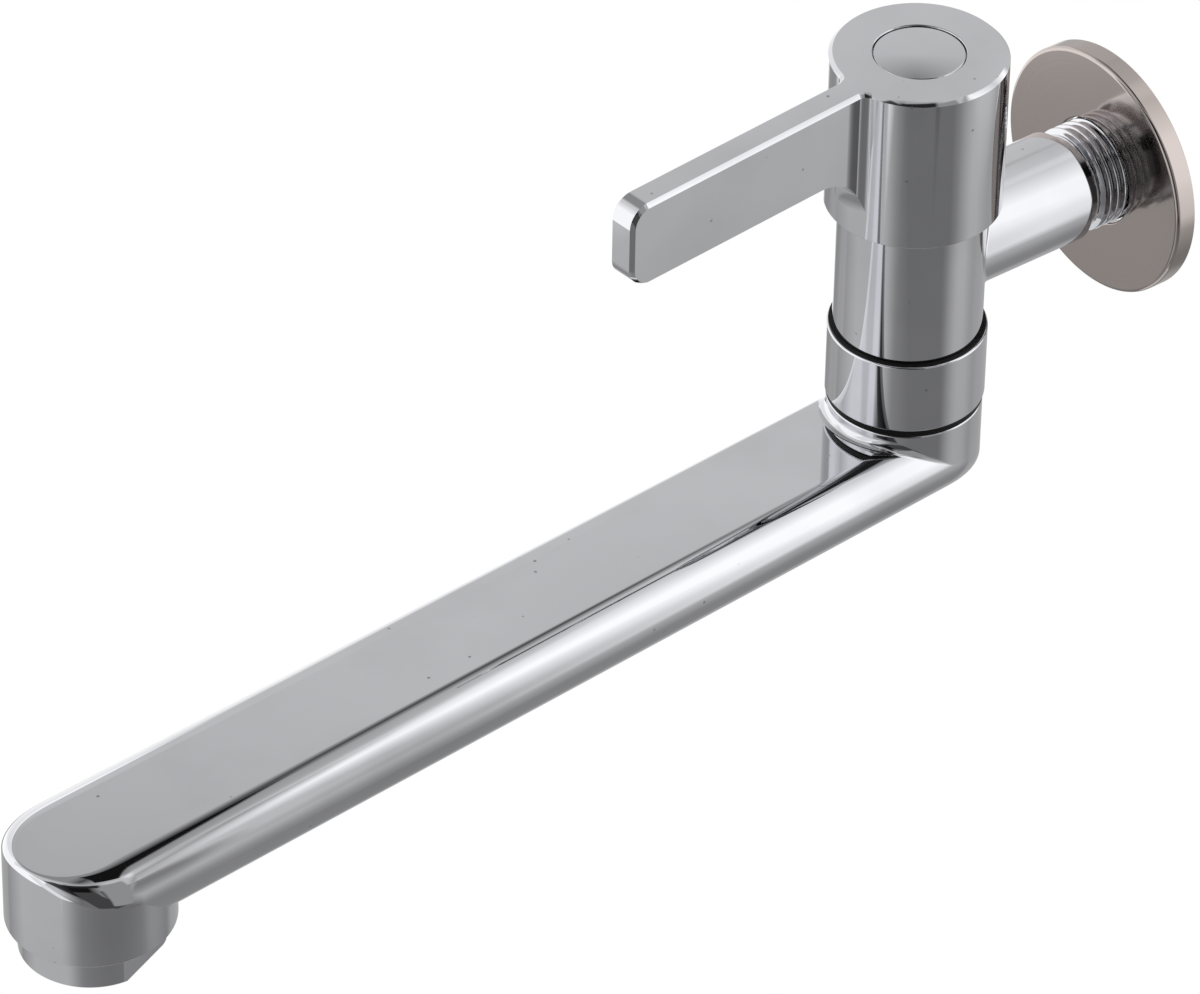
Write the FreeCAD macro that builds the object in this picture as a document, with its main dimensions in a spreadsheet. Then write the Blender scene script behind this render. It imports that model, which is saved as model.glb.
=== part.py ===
"""Wall-mounted single-lever kitchen tap with a swivelling flat-topped spout.

Frame: the origin is on the inlet's axis in the wall plane, +Y points into the wall, +Z up. The tap's
own axis is vertical and stands in front of the wall. Every piece on it is drawn with that axis as its
own Z, the spout and the lever pointing along -Y, and is then placed and swung as a whole.
"""
import FreeCAD, Part
import Sketcher
import math
import os

os.makedirs("parts", exist_ok=True)
doc = FreeCAD.newDocument("WallTap")

Vector = FreeCAD.Vector


class Measure:
    """A size: its number, and the spreadsheet expression that gives it."""

    def __init__(self, value, text):
        self.value = value
        self.text = text

    def combine(self, other, sign, value):
        return Measure(value, f"({self.text} {sign} {other.text})")

    def __add__(self, other):
        other = measure(other)
        return self.combine(other, "+", self.value + other.value)

    def __sub__(self, other):
        other = measure(other)
        return self.combine(other, "-", self.value - other.value)

    def __mul__(self, other):
        other = measure(other)
        return self.combine(other, "*", self.value * other.value)

    def __truediv__(self, other):
        other = measure(other)
        return self.combine(other, "/", self.value / other.value)

    def __neg__(self):
        return Measure(-self.value, f"(-{self.text})")


def root(size):
    """The square root of a size."""
    return Measure(math.sqrt(size.value), f"sqrt({size.text})")


def measure(thing):
    """A plain number becomes a Measure too, so that both can stand in one sum."""
    return thing if isinstance(thing, Measure) else Measure(float(thing), f"({float(thing)})")


# The driving dimensions, in millimetres and degrees
SIZES = {
    # Where the tap stands and how its moving groups are turned at rest
    "wall_to_axis": 49.0,  # wall plane to the tap's vertical axis
    "spout_swing": 4.0,  # spout turned from square to the wall
    "lever_swing": 5.0,  # lever turned from square to the wall
    # Clearances
    "slip": 0.05,  # gap between faces that slide on each other
    "turn_gap": 0.08,  # radial gap of a part that turns in its seat
    "fit_gap": 0.1,  # radial gap of a part that is fixed in its seat
    "loose_gap": 0.3,  # radial gap of the flange round the thread
    # Body and its inlet arm
    "body_radius": 14.3,  # outside of the body
    "body_rise": 17.6,  # inlet axis up to the top of the body
    "shoulder_drop": 14.8,  # inlet axis down to the body's shoulder
    "spigot_radius": 12.4,  # threaded foot of the body inside the nut
    "arm_radius": 11.0,  # outside of the inlet arm
    "arm_length": 36.0,  # tap's axis to the arm's shoulder
    "arm_edge": 0.5,  # chamfer of the arm's shoulder
    "arm_root": 1.0,  # fillet between arm and body
    "relief_length": 2.0,  # plain neck between shoulder and thread
    "relief_radius": 9.3,  # radius of that neck
    "thread_radius": 10.4775,  # G 1/2 thread, outside
    "thread_past_wall": 8.7,  # thread beyond the wall plane
    "front_ease": 0.2,  # thread in front of the wall lies this much lower
    "inlet_bore": 7.4,  # waterway of the arm
    "chamber_radius": 10.6,  # chamber for the headwork
    "web_height": 4.2,  # web between chamber and spout socket
    "port_radius": 5.6,  # waterway through the web
    # Wall flange
    "flange_radius": 25.0,  # outside of the flange
    "flange_depth": 4.4,  # front face to the wall
    "flange_sheet": 0.9,  # thickness of the flange's sheet
    "flange_bend": 1.6,  # outer radius of the turned-back rim
    "flange_neck": 1.4,  # wall of the threaded neck behind the face
    # Spout nut and slip rings
    "nut_radius": 15.3,  # outside of the spout nut
    "nut_height": 14.8,  # height of the spout nut
    "nut_edge": 0.4,  # chamfer of the nut's outer edges
    "lip_height": 2.2,  # inner lip of the nut
    "lip_radius": 10.6,  # opening of that lip
    "slip_ring_radius": 15.0,  # outside of both black rings
    "upper_ring_height": 1.3,  # upper black ring
    "lower_ring_height": 1.9,  # lower black ring
    "retainer_height": 2.0,  # split ring on the spout's neck
    "retainer_radius": 12.0,  # outside of the split ring
    "retainer_split": 2.4,  # gap of the split ring
    # Spout
    "spout_reach": 198.0,  # tap's axis to the outlet's axis
    "heel_radius": 15.0,  # half width of the spout at its heel
    "outlet_radius": 15.7,  # half width of the spout at its outlet
    "tube_height": 16.0,  # height of the spout's tube
    "tube_wall": 2.2,  # wall of the spout's tube
    "shoulder_round": 6.6,  # round between the flat top and the sides
    "nose_round": 1.2,  # the same round at the tip of the nose
    "side_strip": 0.2,  # plain strip of the sides between shoulder and belly round
    "heel_round": 2.4,  # belly round at the back of the heel
    "boss_radius": 14.8,  # boss under the lower black ring
    "boss_height": 2.7,  # boss above the flat top
    "boss_root": 2.0,  # fillet round the foot of the boss
    "outlet_drop": 2.3,  # outlet's wall below the tube
    "neck_radius": 9.7,  # spout's neck in the body's socket
    "neck_length": 13.0,  # neck inside the body's foot
    "neck_bore": 6.4,  # waterway of the neck
    "neck_groove": 8.0,  # floor of the neck's seal grooves
    # Seals: the radius of each cord
    "neck_cord": 0.86,  # cord of the neck's seals
    "gland_cord": 0.52,  # cord of the gland's seals
    "flange_cord": 0.75,  # cord of the headwork's seal
    # Aerator
    "aerator_radius": 13.4,  # outside of the outlet ring
    "aerator_height": 7.2,  # outlet ring below the outlet's rim
    "aerator_flats": 23.0,  # width across the ring's wrench flats
    "aerator_turn": 18.0,  # turn of those flats from the spout's side
    "aerator_edge": 0.5,  # chamfer of the ring's lower edge
    "outlet_thread": 11.9,  # outlet thread, radius
    "outlet_thread_length": 4.2,  # length of that thread
    "aerator_bore": 10.6,  # inside of the outlet ring
    "aerator_lip": 9.4,  # opening at the ring's bottom
    "aerator_lip_height": 1.0,  # height of that lip
    "slot_count": 10,  # slots of the insert
    "slot_inner": 4.6,  # axis to the near end of the insert's slots
    "slot_outer": 6.8,  # axis to the far end of the insert's slots
    "screen_height": 0.6,  # thickness of the outlet screen
    "screen_pitch": 2.4,  # spacing of the screen's slots
    "screen_hole": 0.8,  # half width of those slots and of the insert's
    "washer_height": 1.2,  # thickness of the outlet washer
    "washer_bore": 8.0,  # opening of the outlet washer
    # Headwork
    "seal_height": 1.2,  # rubber seal on the chamber's floor
    "disc_radius": 8.2,  # ceramic discs
    "disc_height": 3.0,  # thickness of each disc
    "disc_port": 6.6,  # outer radius of the discs' openings
    "disc_hub": 1.8,  # inner radius of the discs' openings
    "barrel_radius": 9.6,  # headwork below its thread
    "barrel_length": 15.2,  # length of that barrel
    "window_height": 5.4,  # height of the barrel's windows
    "window_width": 7.0,  # width of the barrel's windows
    "headwork_flange": 13.4,  # radius of the headwork's flange
    "headwork_flange_height": 2.5,  # height of that flange
    "hexagon_flats": 17.0,  # width across the headwork's hexagon
    "hexagon_height": 4.6,  # height of that hexagon
    "gland_radius": 6.6,  # gland above the hexagon
    "gland_height": 3.2,  # height of the gland
    # Spindle
    "spindle_radius": 4.0,  # spindle
    "spindle_foot": 7.9,  # radius of the spindle's foot
    "foot_height": 1.8,  # height of that foot
    "tongue_width": 3.0,  # driving tongue under the foot
    "tongue_length": 11.0,  # length of the tongue
    "tongue_depth": 1.5,  # depth of the tongue
    "spindle_above_gland": 9.2,  # spindle above the gland
    "spline_teeth": 20,  # teeth of the spindle's splined end
    "spline_length": 7.0,  # length of the splined end
    "spline_depth": 0.45,  # depth of the splines
    "clip_radius": 5.8,  # outside of the spring clip
    "clip_height": 0.8,  # thickness of the spring clip
    "clip_groove": 3.1,  # floor of the clip's groove
    # Handle, button and screw
    "skirt_bottom": 12.7,  # inlet axis up to the skirt's edge
    "handle_height": 32.7,  # skirt's edge to the top of the cap
    "cap_radius": 16.9,  # outside of the cap and skirt
    "skirt_wall": 1.9,  # wall of the skirt
    "hub_radius": 7.0,  # hub inside the cap
    "cap_roof": 6.4,  # thickness of the cap over its hollow
    "lever_reach": 74.5,  # tap's axis to the lever's end
    "lever_width": 6.1,  # thickness of the lever
    "lever_height": 17.2,  # height of the lever
    "lever_top_corner": 4.1,  # radius of the lever's upper end corner
    "lever_low_corner": 3.6,  # radius of the lever's lower end corner
    "arch_radius": 10.5,  # arch under the lever's root
    "arch_foot": 1.8,  # arch's centre up to its foot on the skirt
    "root_round": 2.0,  # fillets between lever and cap
    "top_chamfer": 0.7,  # chamfer round the top of cap and lever
    "button_radius": 8.6,  # button
    "button_gap": 0.2,  # groove round the button
    "button_height": 3.2,  # height of the button's edge
    "button_crown": 0.6,  # rise of the button's middle
    "recess_depth": 3.4,  # recess that holds the button
    "pocket_radius": 4.6,  # pocket for the screw's head
    "pocket_depth": 2.6,  # depth of that pocket
    "screw_web": 1.4,  # web under the screw's head
    "screw_radius": 2.0,  # screw's shank
    "screw_head": 3.7,  # radius of the screw's head
    "screw_head_height": 2.2,  # height of the screw's head
    "screw_socket": 3.0,  # width across the screw's socket
    "screw_grip": 8.0,  # screw inside the spindle
}


class Dimensions:
    """The spreadsheet of the driving dimensions, each one a Measure under its own name."""

    def __init__(self, sizes):
        self.sheet = doc.addObject("Spreadsheet::Sheet", "Sizes")
        for row, (name, value) in enumerate(sizes.items(), 1):
            self.sheet.set(f"A{row}", name)
            self.sheet.set(f"B{row}", str(value))
            self.sheet.setAlias(f"B{row}", name)
            setattr(self, name, Measure(float(value), f"Sizes.{name}"))


d = Dimensions(SIZES)
doc.recompute()

# Levels along the tap's axis, from the inlet axis upwards or downwards
zero = measure(0)
shoulder_z = -d.shoulder_drop
nut_top = shoulder_z - d.upper_ring_height
nut_bottom = nut_top - d.nut_height
lip_top = nut_bottom + d.lip_height
spigot_end = lip_top + d.retainer_height + d.slip * 2
neck_top = spigot_end + d.neck_length
socket_top = neck_top + d.slip * 8
chamber_floor = socket_top + d.web_height
boss_top = nut_bottom - d.lower_ring_height - d.slip
flat_z = boss_top - d.boss_height
tube_bottom = flat_z - d.tube_height
rim_z = tube_bottom - d.outlet_drop
aerator_bottom = rim_z - d.aerator_height
fixed_disc_bottom = chamber_floor + d.seal_height
moving_disc_bottom = fixed_disc_bottom + d.disc_height
foot_bottom = moving_disc_bottom + d.disc_height
foot_top = foot_bottom + d.foot_height
headwork_top = d.body_rise + d.headwork_flange_height
hexagon_top = headwork_top + d.hexagon_height
gland_top = hexagon_top + d.gland_height
spindle_top = gland_top + d.spindle_above_gland
handle_top = d.skirt_bottom + d.handle_height
recess_floor = handle_top - d.recess_depth
pocket_floor = recess_floor - d.pocket_depth
bore_top = pocket_floor - d.screw_web
hub_bottom = gland_top + d.clip_height + d.slip * 12
skirt_inside = d.cap_radius - d.skirt_wall
belly_round = d.tube_height - d.shoulder_round - d.side_strip
socket_radius = d.neck_radius + d.turn_gap

finished = []


def tap_axis(item, swing=None):
    """Stands a piece on the tap's axis in front of the wall, and turns it with its group."""
    item.setExpression("Placement.Base.y", (-d.wall_to_axis).text)
    if swing is not None:
        item.setExpression("Placement.Rotation.Angle", swing.text)
    finished.append(item)
    return item


def bind(item, field, size):
    """Ties one property of an object to a size."""
    item.setExpression(field, size.text)


def new_body(label):
    body = doc.addObject("PartDesign::Body", label + "_body")
    body.Label = label
    return body


def new_sketch(body, role, lift=None):
    """A sketch on one of the body's own origin planes, lifted along that plane's normal."""
    sketch = body.newObject("Sketcher::SketchObject", "Sketch")
    plane = [item for item in body.Origin.OriginFeatures if item.Role == role][0]
    sketch.AttachmentSupport = (plane, [""])
    sketch.MapMode = "FlatFace"
    if lift is not None:
        bind(sketch, "AttachmentOffset.Base.z", lift)
    return sketch


def pin_point(sketch, geometry, end, x, y):
    """Fixes one end of a sketch curve at a place that the spreadsheet gives."""
    for kind, size in (("DistanceX", x), ("DistanceY", y)):
        size = measure(size)
        index = sketch.addConstraint(Sketcher.Constraint(kind, -1, 1, geometry, end, size.value))
        sketch.setExpression(f"Constraints[{index}]", size.text)


def arc_between(start, end, radius):
    """The short arc of a signed radius: plus bends to the left of the way from start to end."""
    chord = end - start
    half = chord.Length / 2
    rise = math.sqrt(max(radius * radius - half * half, 0.0))
    left = Vector(-chord.y, chord.x, 0).normalize()
    centre = (start + end) * 0.5 + left * math.copysign(rise, radius)
    from_start = math.atan2(start.y - centre.y, start.x - centre.x)
    from_end = math.atan2(end.y - centre.y, end.x - centre.x)
    circle = Part.Circle(centre, Vector(0, 0, 1), abs(radius))
    if radius > 0:
        return Part.ArcOfCircle(circle, from_start, from_end), 1, 2
    return Part.ArcOfCircle(circle, from_end, from_start), 2, 1


def outline(sketch, corners):
    """A closed outline. A corner is (x, y), or (x, y, radius) where an arc leads to it."""
    ends = []
    for number, corner in enumerate(corners):
        before = corners[number - 1]
        start = Vector(measure(before[0]).value, measure(before[1]).value, 0)
        end = Vector(measure(corner[0]).value, measure(corner[1]).value, 0)
        if len(corner) == 3:
            curve, first, last = arc_between(start, end, measure(corner[2]).value)
        else:
            curve, first, last = Part.LineSegment(start, end), 1, 2
        ends.append((sketch.addGeometry(curve, False), first, last))
    for number, (geometry, first, last) in enumerate(ends):
        after, after_first, _ = ends[(number + 1) % len(ends)]
        sketch.addConstraint(Sketcher.Constraint("Coincident", geometry, last, after, after_first))
    for (geometry, first, last), corner in zip(ends, corners):
        pin_point(sketch, geometry, last, corner[0], corner[1])
        if len(corner) == 3:
            radius = measure(corner[2])
            bend = radius if radius.value > 0 else -radius
            index = sketch.addConstraint(Sketcher.Constraint("Radius", geometry, bend.value))
            sketch.setExpression(f"Constraints[{index}]", bend.text)


def circle(sketch, radius, x=0, y=0):
    """A circle of a size that the spreadsheet gives."""
    radius = measure(radius)
    centre = Vector(measure(x).value, measure(y).value, 0)
    geometry = sketch.addGeometry(Part.Circle(centre, Vector(0, 0, 1), radius.value), False)
    index = sketch.addConstraint(Sketcher.Constraint("Radius", geometry, radius.value))
    sketch.setExpression(f"Constraints[{index}]", radius.text)
    pin_point(sketch, geometry, 3, x, y)


def rectangle(sketch, x_low, x_high, y_low, y_high):
    outline(sketch, [(x_low, y_low), (x_high, y_low), (x_high, y_high), (x_low, y_high)])


def hexagon(sketch, flats):
    """A hexagon with two sides square to the sketch's Y axis."""
    half = flats / 2
    corner = flats / math.sqrt(3)
    outline(sketch, [(corner, zero), (corner / 2, half), (-corner / 2, half),
                     (-corner, zero), (-corner / 2, -half), (corner / 2, -half)])


def turn(body, sketch, axis="V_Axis", cut=False):
    """Turns a half outline about a sketch axis, as material or as a cut."""
    kind = "PartDesign::Groove" if cut else "PartDesign::Revolution"
    feature = body.newObject(kind, "Turned")
    feature.Profile = sketch
    feature.ReferenceAxis = (sketch, [axis])
    feature.Angle = 360
    doc.recompute()
    return feature


def pad(body, sketch, length, reverse=False, both_ways=False):
    feature = body.newObject("PartDesign::Pad", "Pad")
    feature.Profile = sketch
    bind(feature, "Length", length)
    feature.Reversed = reverse
    feature.Midplane = both_ways
    doc.recompute()
    return feature


def pocket(body, sketch, length, reverse=False):
    """A pocket that has to take material away."""
    before = body.Shape.Volume
    feature = body.newObject("PartDesign::Pocket", "Pocket")
    feature.Profile = sketch
    bind(feature, "Length", length)
    feature.Reversed = reverse
    doc.recompute()
    if body.Shape.Volume > before - 1e-6:
        raise RuntimeError(f"a pocket of {body.Label} cuts nothing")
    return feature


def around(body, feature, count):
    """Repeats one feature evenly about the body's own Z axis."""
    axis = [item for item in body.Origin.OriginFeatures if item.Role == "Z_Axis"][0]
    pattern = body.newObject("PartDesign::PolarPattern", "Around")
    pattern.Originals = [feature]
    pattern.Axis = (axis, [""])
    pattern.Angle = 360
    pattern.Occurrences = count
    body.Tip = pattern
    doc.recompute()
    return pattern


def dress(body, kind, size, test):
    """A fillet or chamfer on the edges of the body that pass a test."""
    base = body.Tip
    names = [f"Edge{number}" for number, edge in enumerate(base.Shape.Edges, 1) if test(edge)]
    if not names:
        raise RuntimeError(f"no edge of {body.Label} takes the {kind}")
    feature = body.newObject("PartDesign::" + kind, kind)
    feature.Base = (base, names)
    bind(feature, "Radius" if kind == "Fillet" else "Size", size)
    doc.recompute()
    return feature


def middle(edge):
    """The point half-way along an edge."""
    return edge.valueAt((edge.FirstParameter + edge.LastParameter) / 2)


def turned_piece(label, corners, swing=None):
    """A whole piece turned about the tap's axis from its (radius, height) outline."""
    body = new_body(label)
    sketch = new_sketch(body, "XZ_Plane")
    outline(sketch, corners)
    turn(body, sketch)
    return tap_axis(body, swing)


def plain_ring(label, inner, outer, low, high, swing=None):
    return turned_piece(label, [(inner, low), (outer, low), (outer, high), (inner, high)], swing)


def cord_ring(label, radius, cord, level, swing=None):
    """A rubber ring of round cord about the tap's axis, drawn with an eight-sided section."""
    side = cord * math.tan(math.pi / 8)
    return turned_piece(label, [
        (radius - side, level - cord), (radius + side, level - cord),
        (radius + cord, level - side), (radius + cord, level + side),
        (radius + side, level + cord), (radius - side, level + cord),
        (radius - cord, level + side), (radius - cord, level - side)], swing)


def split(body, width, reach, low, high):
    """Cuts a slot of a given width through one side of a ring, towards -Y."""
    sketch = new_sketch(body, "XY_Plane", low - 1)
    rectangle(sketch, -width / 2, width / 2, -reach * 2, zero)
    return pocket(body, sketch, high - low + 2, reverse=True)


def make_valve_body():
    """The body: a vertical barrel with the arm to the wall, hollowed for headwork and spout."""
    body = new_body("valve_body")
    barrel = new_sketch(body, "XZ_Plane")
    outline(barrel, [(zero, spigot_end), (d.spigot_radius, spigot_end), (d.spigot_radius, shoulder_z),
                     (d.body_radius, shoulder_z), (d.body_radius, d.body_rise), (zero, d.body_rise)])
    turn(body, barrel)
    arm = new_sketch(body, "YZ_Plane")
    thread_start = d.arm_length + d.relief_length
    front_thread = d.thread_radius - d.front_ease
    thread_end = d.wall_to_axis + d.thread_past_wall
    outline(arm, [(zero, zero), (zero, d.arm_radius), (d.arm_length - d.arm_edge, d.arm_radius),
                  (d.arm_length, d.arm_radius - d.arm_edge), (d.arm_length, d.relief_radius),
                  (thread_start, d.relief_radius), (thread_start, front_thread),
                  (d.wall_to_axis, front_thread), (d.wall_to_axis, d.thread_radius),
                  (thread_end - d.arm_edge, d.thread_radius),
                  (thread_end, d.thread_radius - d.arm_edge), (thread_end, zero)])
    turn(body, arm, "H_Axis")

    def at_root(edge):
        point = middle(edge)
        on_arm = abs(math.hypot(point.x, point.z) - d.arm_radius.value) < 0.05
        on_barrel = abs(math.hypot(point.x, point.y) - d.body_radius.value) < 0.05
        return on_arm and on_barrel and point.y > 0
    dress(body, "Fillet", d.arm_root, at_root)
    hollow = new_sketch(body, "XZ_Plane")
    outline(hollow, [(zero, spigot_end), (socket_radius, spigot_end), (socket_radius, socket_top),
                     (d.port_radius, socket_top), (d.port_radius, chamber_floor),
                     (d.chamber_radius, chamber_floor), (d.chamber_radius, d.body_rise),
                     (zero, d.body_rise)])
    turn(body, hollow, cut=True)
    bore = new_sketch(body, "XZ_Plane")
    circle(bore, d.inlet_bore)
    pocket(body, bore, thread_end)
    return tap_axis(body)


def make_wall_flange():
    """A stamped plate with its rim turned back to the wall and a short neck round the thread."""
    body = new_body("wall_flange")
    sketch = new_sketch(body, "YZ_Plane")
    hole = d.thread_radius + d.loose_gap
    front = -d.flange_depth
    back = front + d.flange_sheet
    inner = d.flange_radius - d.flange_sheet
    outline(sketch, [(front, hole), (front, d.flange_radius - d.flange_bend),
                     (front + d.flange_bend, d.flange_radius, -d.flange_bend),
                     (zero, d.flange_radius), (zero, inner), (back, inner),
                     (back, hole + d.flange_neck),
                     (back + d.flange_neck, hole + d.flange_neck), (back + d.flange_neck, hole)])
    turn(body, sketch, "H_Axis")
    finished.append(body)
    return body


def make_spout_nut():
    """The collar: smooth outside, threaded inside above the lip that carries the split ring."""
    bore = d.spigot_radius + d.fit_gap
    edge = d.nut_edge
    return turned_piece("spout_nut", [
        (d.lip_radius, nut_bottom), (d.nut_radius - edge, nut_bottom),
        (d.nut_radius, nut_bottom + edge), (d.nut_radius, nut_top - edge),
        (d.nut_radius - edge, nut_top), (bore, nut_top), (bore, lip_top), (d.lip_radius, lip_top)])


def make_slip_rings():
    plain_ring("upper_ring", d.spigot_radius + d.fit_gap, d.slip_ring_radius, nut_top, shoulder_z)
    plain_ring("lower_ring", d.neck_radius + d.fit_gap, d.slip_ring_radius,
               boss_top, nut_bottom - d.slip, d.spout_swing)


def make_retaining_ring():
    """The split ring in the neck's groove, which lies on the nut's lip and turns with the spout."""
    low = lip_top + d.slip
    high = low + d.retainer_height
    ring = plain_ring("retaining_ring", d.neck_groove + d.fit_gap, d.retainer_radius,
                      low, high, d.spout_swing)
    split(ring, d.retainer_split, d.retainer_radius, low, high)
    return ring


def flat_tube(name, inset):
    """The spout's tube, or its hollow: two half rounds and their tangents, pulled in by the inset."""
    body = new_body(name)
    plan = new_sketch(body, "XY_Plane", tube_bottom + inset)
    heel = d.heel_radius - inset
    nose = d.outlet_radius - inset
    taper = (d.outlet_radius - d.heel_radius) / d.spout_reach
    slant = math.sqrt(1 - taper.value ** 2)
    heel_x, heel_y = heel * slant, heel * taper
    nose_x, nose_y = nose * slant, nose * taper - d.spout_reach
    outline(plan, [(-nose_x, nose_y), (zero, -d.spout_reach - nose, nose), (nose_x, nose_y, nose),
                   (heel_x, heel_y), (zero, heel, heel), (-heel_x, heel_y, heel)])
    pad(body, plan, d.tube_height - inset * 2)
    return body


def level_edges(shape, level, radius_of):
    """The edges of a shape that lie at one level, each with a fillet radius for both ends."""
    chosen = []
    for number, edge in enumerate(shape.Edges, 1):
        box = edge.BoundBox
        if box.ZLength < 1e-6 and abs(box.ZMin - level) < 1e-6:
            ends = [edge.firstVertex(True).Point, edge.lastVertex(True).Point]
            chosen.append((number, radius_of(ends[0]), radius_of(ends[1])))
    return chosen


def rounded_tube(name, inset, nose_round, heel_round):
    """The tube with its long rounds, which grow narrow towards the nose and the heel."""
    body = flat_tube(name, inset)
    shoulder = d.shoulder_round.value - inset
    belly = belly_round.value - inset

    def top_radius(point):
        return nose_round if point.y < -d.spout_reach.value - 1 else shoulder

    def low_radius(point):
        return heel_round if point.y > 1 else belly
    top = doc.addObject("Part::Fillet", name + "_top")
    top.Base = body
    top.Edges = level_edges(body.Shape, flat_z.value - inset, top_radius)
    doc.recompute()
    low = doc.addObject("Part::Fillet", name + "_low")
    low.Base = top
    low.Edges = level_edges(top.Shape, tube_bottom.value + inset, low_radius)
    doc.recompute()
    return low


def make_spout():
    """The spout: a flat-topped tube between heel and outlet, with a boss and a grooved neck."""
    wall = d.tube_wall.value
    tube = rounded_tube("tube", 0.0, d.nose_round.value, d.heel_round.value)
    hollow = rounded_tube("hollow", wall, d.shoulder_round.value - wall, belly_round.value - wall)

    neck = new_body("neck")
    sketch = new_sketch(neck, "XZ_Plane")
    groove = d.neck_groove
    upper_low = neck_top - d.neck_cord * 5
    upper_high = upper_low + d.neck_cord * 2 + d.fit_gap * 2
    lower_low = upper_low - d.neck_cord * 5
    lower_high = lower_low + d.neck_cord * 2 + d.fit_gap * 2
    ring_low = lip_top
    ring_high = spigot_end
    neck_wall = d.neck_radius
    outline(sketch, [
        (zero, tube_bottom + d.tube_height / 2), (d.boss_radius, tube_bottom + d.tube_height / 2),
        (d.boss_radius, boss_top - d.nut_edge), (d.boss_radius - d.nut_edge, boss_top),
        (neck_wall, boss_top), (neck_wall, ring_low), (groove, ring_low), (groove, ring_high),
        (neck_wall, ring_high), (neck_wall, lower_low), (groove, lower_low), (groove, lower_high),
        (neck_wall, lower_high), (neck_wall, upper_low), (groove, upper_low), (groove, upper_high),
        (neck_wall, upper_high), (neck_wall, neck_top), (zero, neck_top)])
    turn(neck, sketch)

    outlet = doc.addObject("Part::Cylinder", "outlet")
    bind(outlet, "Radius", d.outlet_radius)
    bind(outlet, "Height", d.outlet_drop + belly_round)
    bind(outlet, "Placement.Base.y", -d.spout_reach)
    bind(outlet, "Placement.Base.z", rim_z)

    solid = doc.addObject("Part::MultiFuse", "spout_solid")
    solid.Shapes = [tube, neck, outlet]
    solid.Refine = True

    waterway = doc.addObject("Part::Cylinder", "waterway")
    bind(waterway, "Radius", d.neck_bore)
    bind(waterway, "Height", neck_top - tube_bottom - d.tube_height / 2)
    bind(waterway, "Placement.Base.z", tube_bottom + d.tube_height / 2)

    mouth = doc.addObject("Part::Cylinder", "mouth")
    bind(mouth, "Radius", d.outlet_thread + d.fit_gap)
    bind(mouth, "Height", d.outlet_drop + d.tube_height / 2)
    bind(mouth, "Placement.Base.y", -d.spout_reach)
    bind(mouth, "Placement.Base.z", rim_z)

    cavity = doc.addObject("Part::MultiFuse", "spout_cavity")
    cavity.Shapes = [hollow, waterway, mouth]
    doc.recompute()

    def at_boss(edge):
        point = middle(edge)
        on_boss = abs(math.hypot(point.x, point.y) - d.boss_radius.value) < 0.02
        upright = edge.Curve.TypeId == "Part::GeomLine"
        return on_boss and not upright and point.z < flat_z.value + 0.01
    rooted = doc.addObject("Part::Fillet", "rooted")
    rooted.Base = solid
    rooted.Edges = [(number, d.boss_root.value, d.boss_root.value)
                    for number, edge in enumerate(solid.Shape.Edges, 1) if at_boss(edge)]

    spout = doc.addObject("Part::Cut", "spout")
    spout.Base = rooted
    spout.Tool = cavity
    spout.Label = "spout"
    tap_axis(spout, d.spout_swing)
    for number, low in ((1, upper_low), (2, lower_low)):
        middle_radius = (groove + socket_radius) / 2
        cord_ring(f"neck_oring_{number}", middle_radius, d.neck_cord,
                  low + d.neck_cord + d.fit_gap, d.spout_swing)
    return spout


def on_outlet(item):
    """Moves a piece that is drawn about its own axis to the outlet's axis, and swings it there."""
    swing = d.spout_swing.text
    reach = d.spout_reach.text
    item.setExpression("Placement.Base.x", f"{reach} * sin({swing} * 1deg)")
    item.setExpression("Placement.Base.y", f"-{reach} * cos({swing} * 1deg) - {d.wall_to_axis.text}")
    bind(item, "Placement.Rotation.Angle", d.spout_swing)
    finished.append(item)
    return item


def make_aerator_housing():
    """The outlet ring: threaded into the spout above, with two wrench flats below."""
    body = new_body("aerator_housing")
    sketch = new_sketch(body, "XZ_Plane")
    edge = d.aerator_edge
    thread_top = rim_z + d.outlet_thread_length
    outline(sketch, [
        (d.aerator_lip, aerator_bottom), (d.aerator_radius - edge, aerator_bottom),
        (d.aerator_radius, aerator_bottom + edge), (d.aerator_radius, rim_z),
        (d.outlet_thread, rim_z), (d.outlet_thread, thread_top), (d.aerator_bore, thread_top),
        (d.aerator_bore, aerator_bottom + d.aerator_lip_height),
        (d.aerator_lip, aerator_bottom + d.aerator_lip_height)])
    turn(body, sketch)
    flats = new_sketch(body, "XY_Plane", aerator_bottom)
    bind(flats, "AttachmentOffset.Rotation.Angle", d.aerator_turn)
    half = d.aerator_flats / 2
    rectangle(flats, half, d.aerator_radius * 1.2, -d.aerator_radius, d.aerator_radius)
    cut = pocket(body, flats, d.aerator_height, reverse=True)
    around(body, cut, 2)
    return on_outlet(body)


def make_aerator_insert():
    """The plastic insert: a cup with a ring of slots that mix air into the water."""
    body = new_body("aerator_insert")
    sketch = new_sketch(body, "XZ_Plane")
    low = aerator_bottom + d.aerator_lip_height + d.screen_height
    high = rim_z + d.outlet_thread_length
    outer = d.aerator_bore - d.fit_gap
    wall = d.aerator_bore - d.washer_bore
    outline(sketch, [(zero, low), (outer, low), (outer, high), (d.washer_bore, high),
                     (d.washer_bore, high - wall), (zero, high - wall)])
    turn(body, sketch)
    slots = new_sketch(body, "XY_Plane", low - 1)
    rectangle(slots, -d.screen_hole, d.screen_hole, d.slot_inner, d.slot_outer)
    hole = pocket(body, slots, high - low + 2, reverse=True)
    around(body, hole, int(d.slot_count.value))
    return on_outlet(body)


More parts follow.
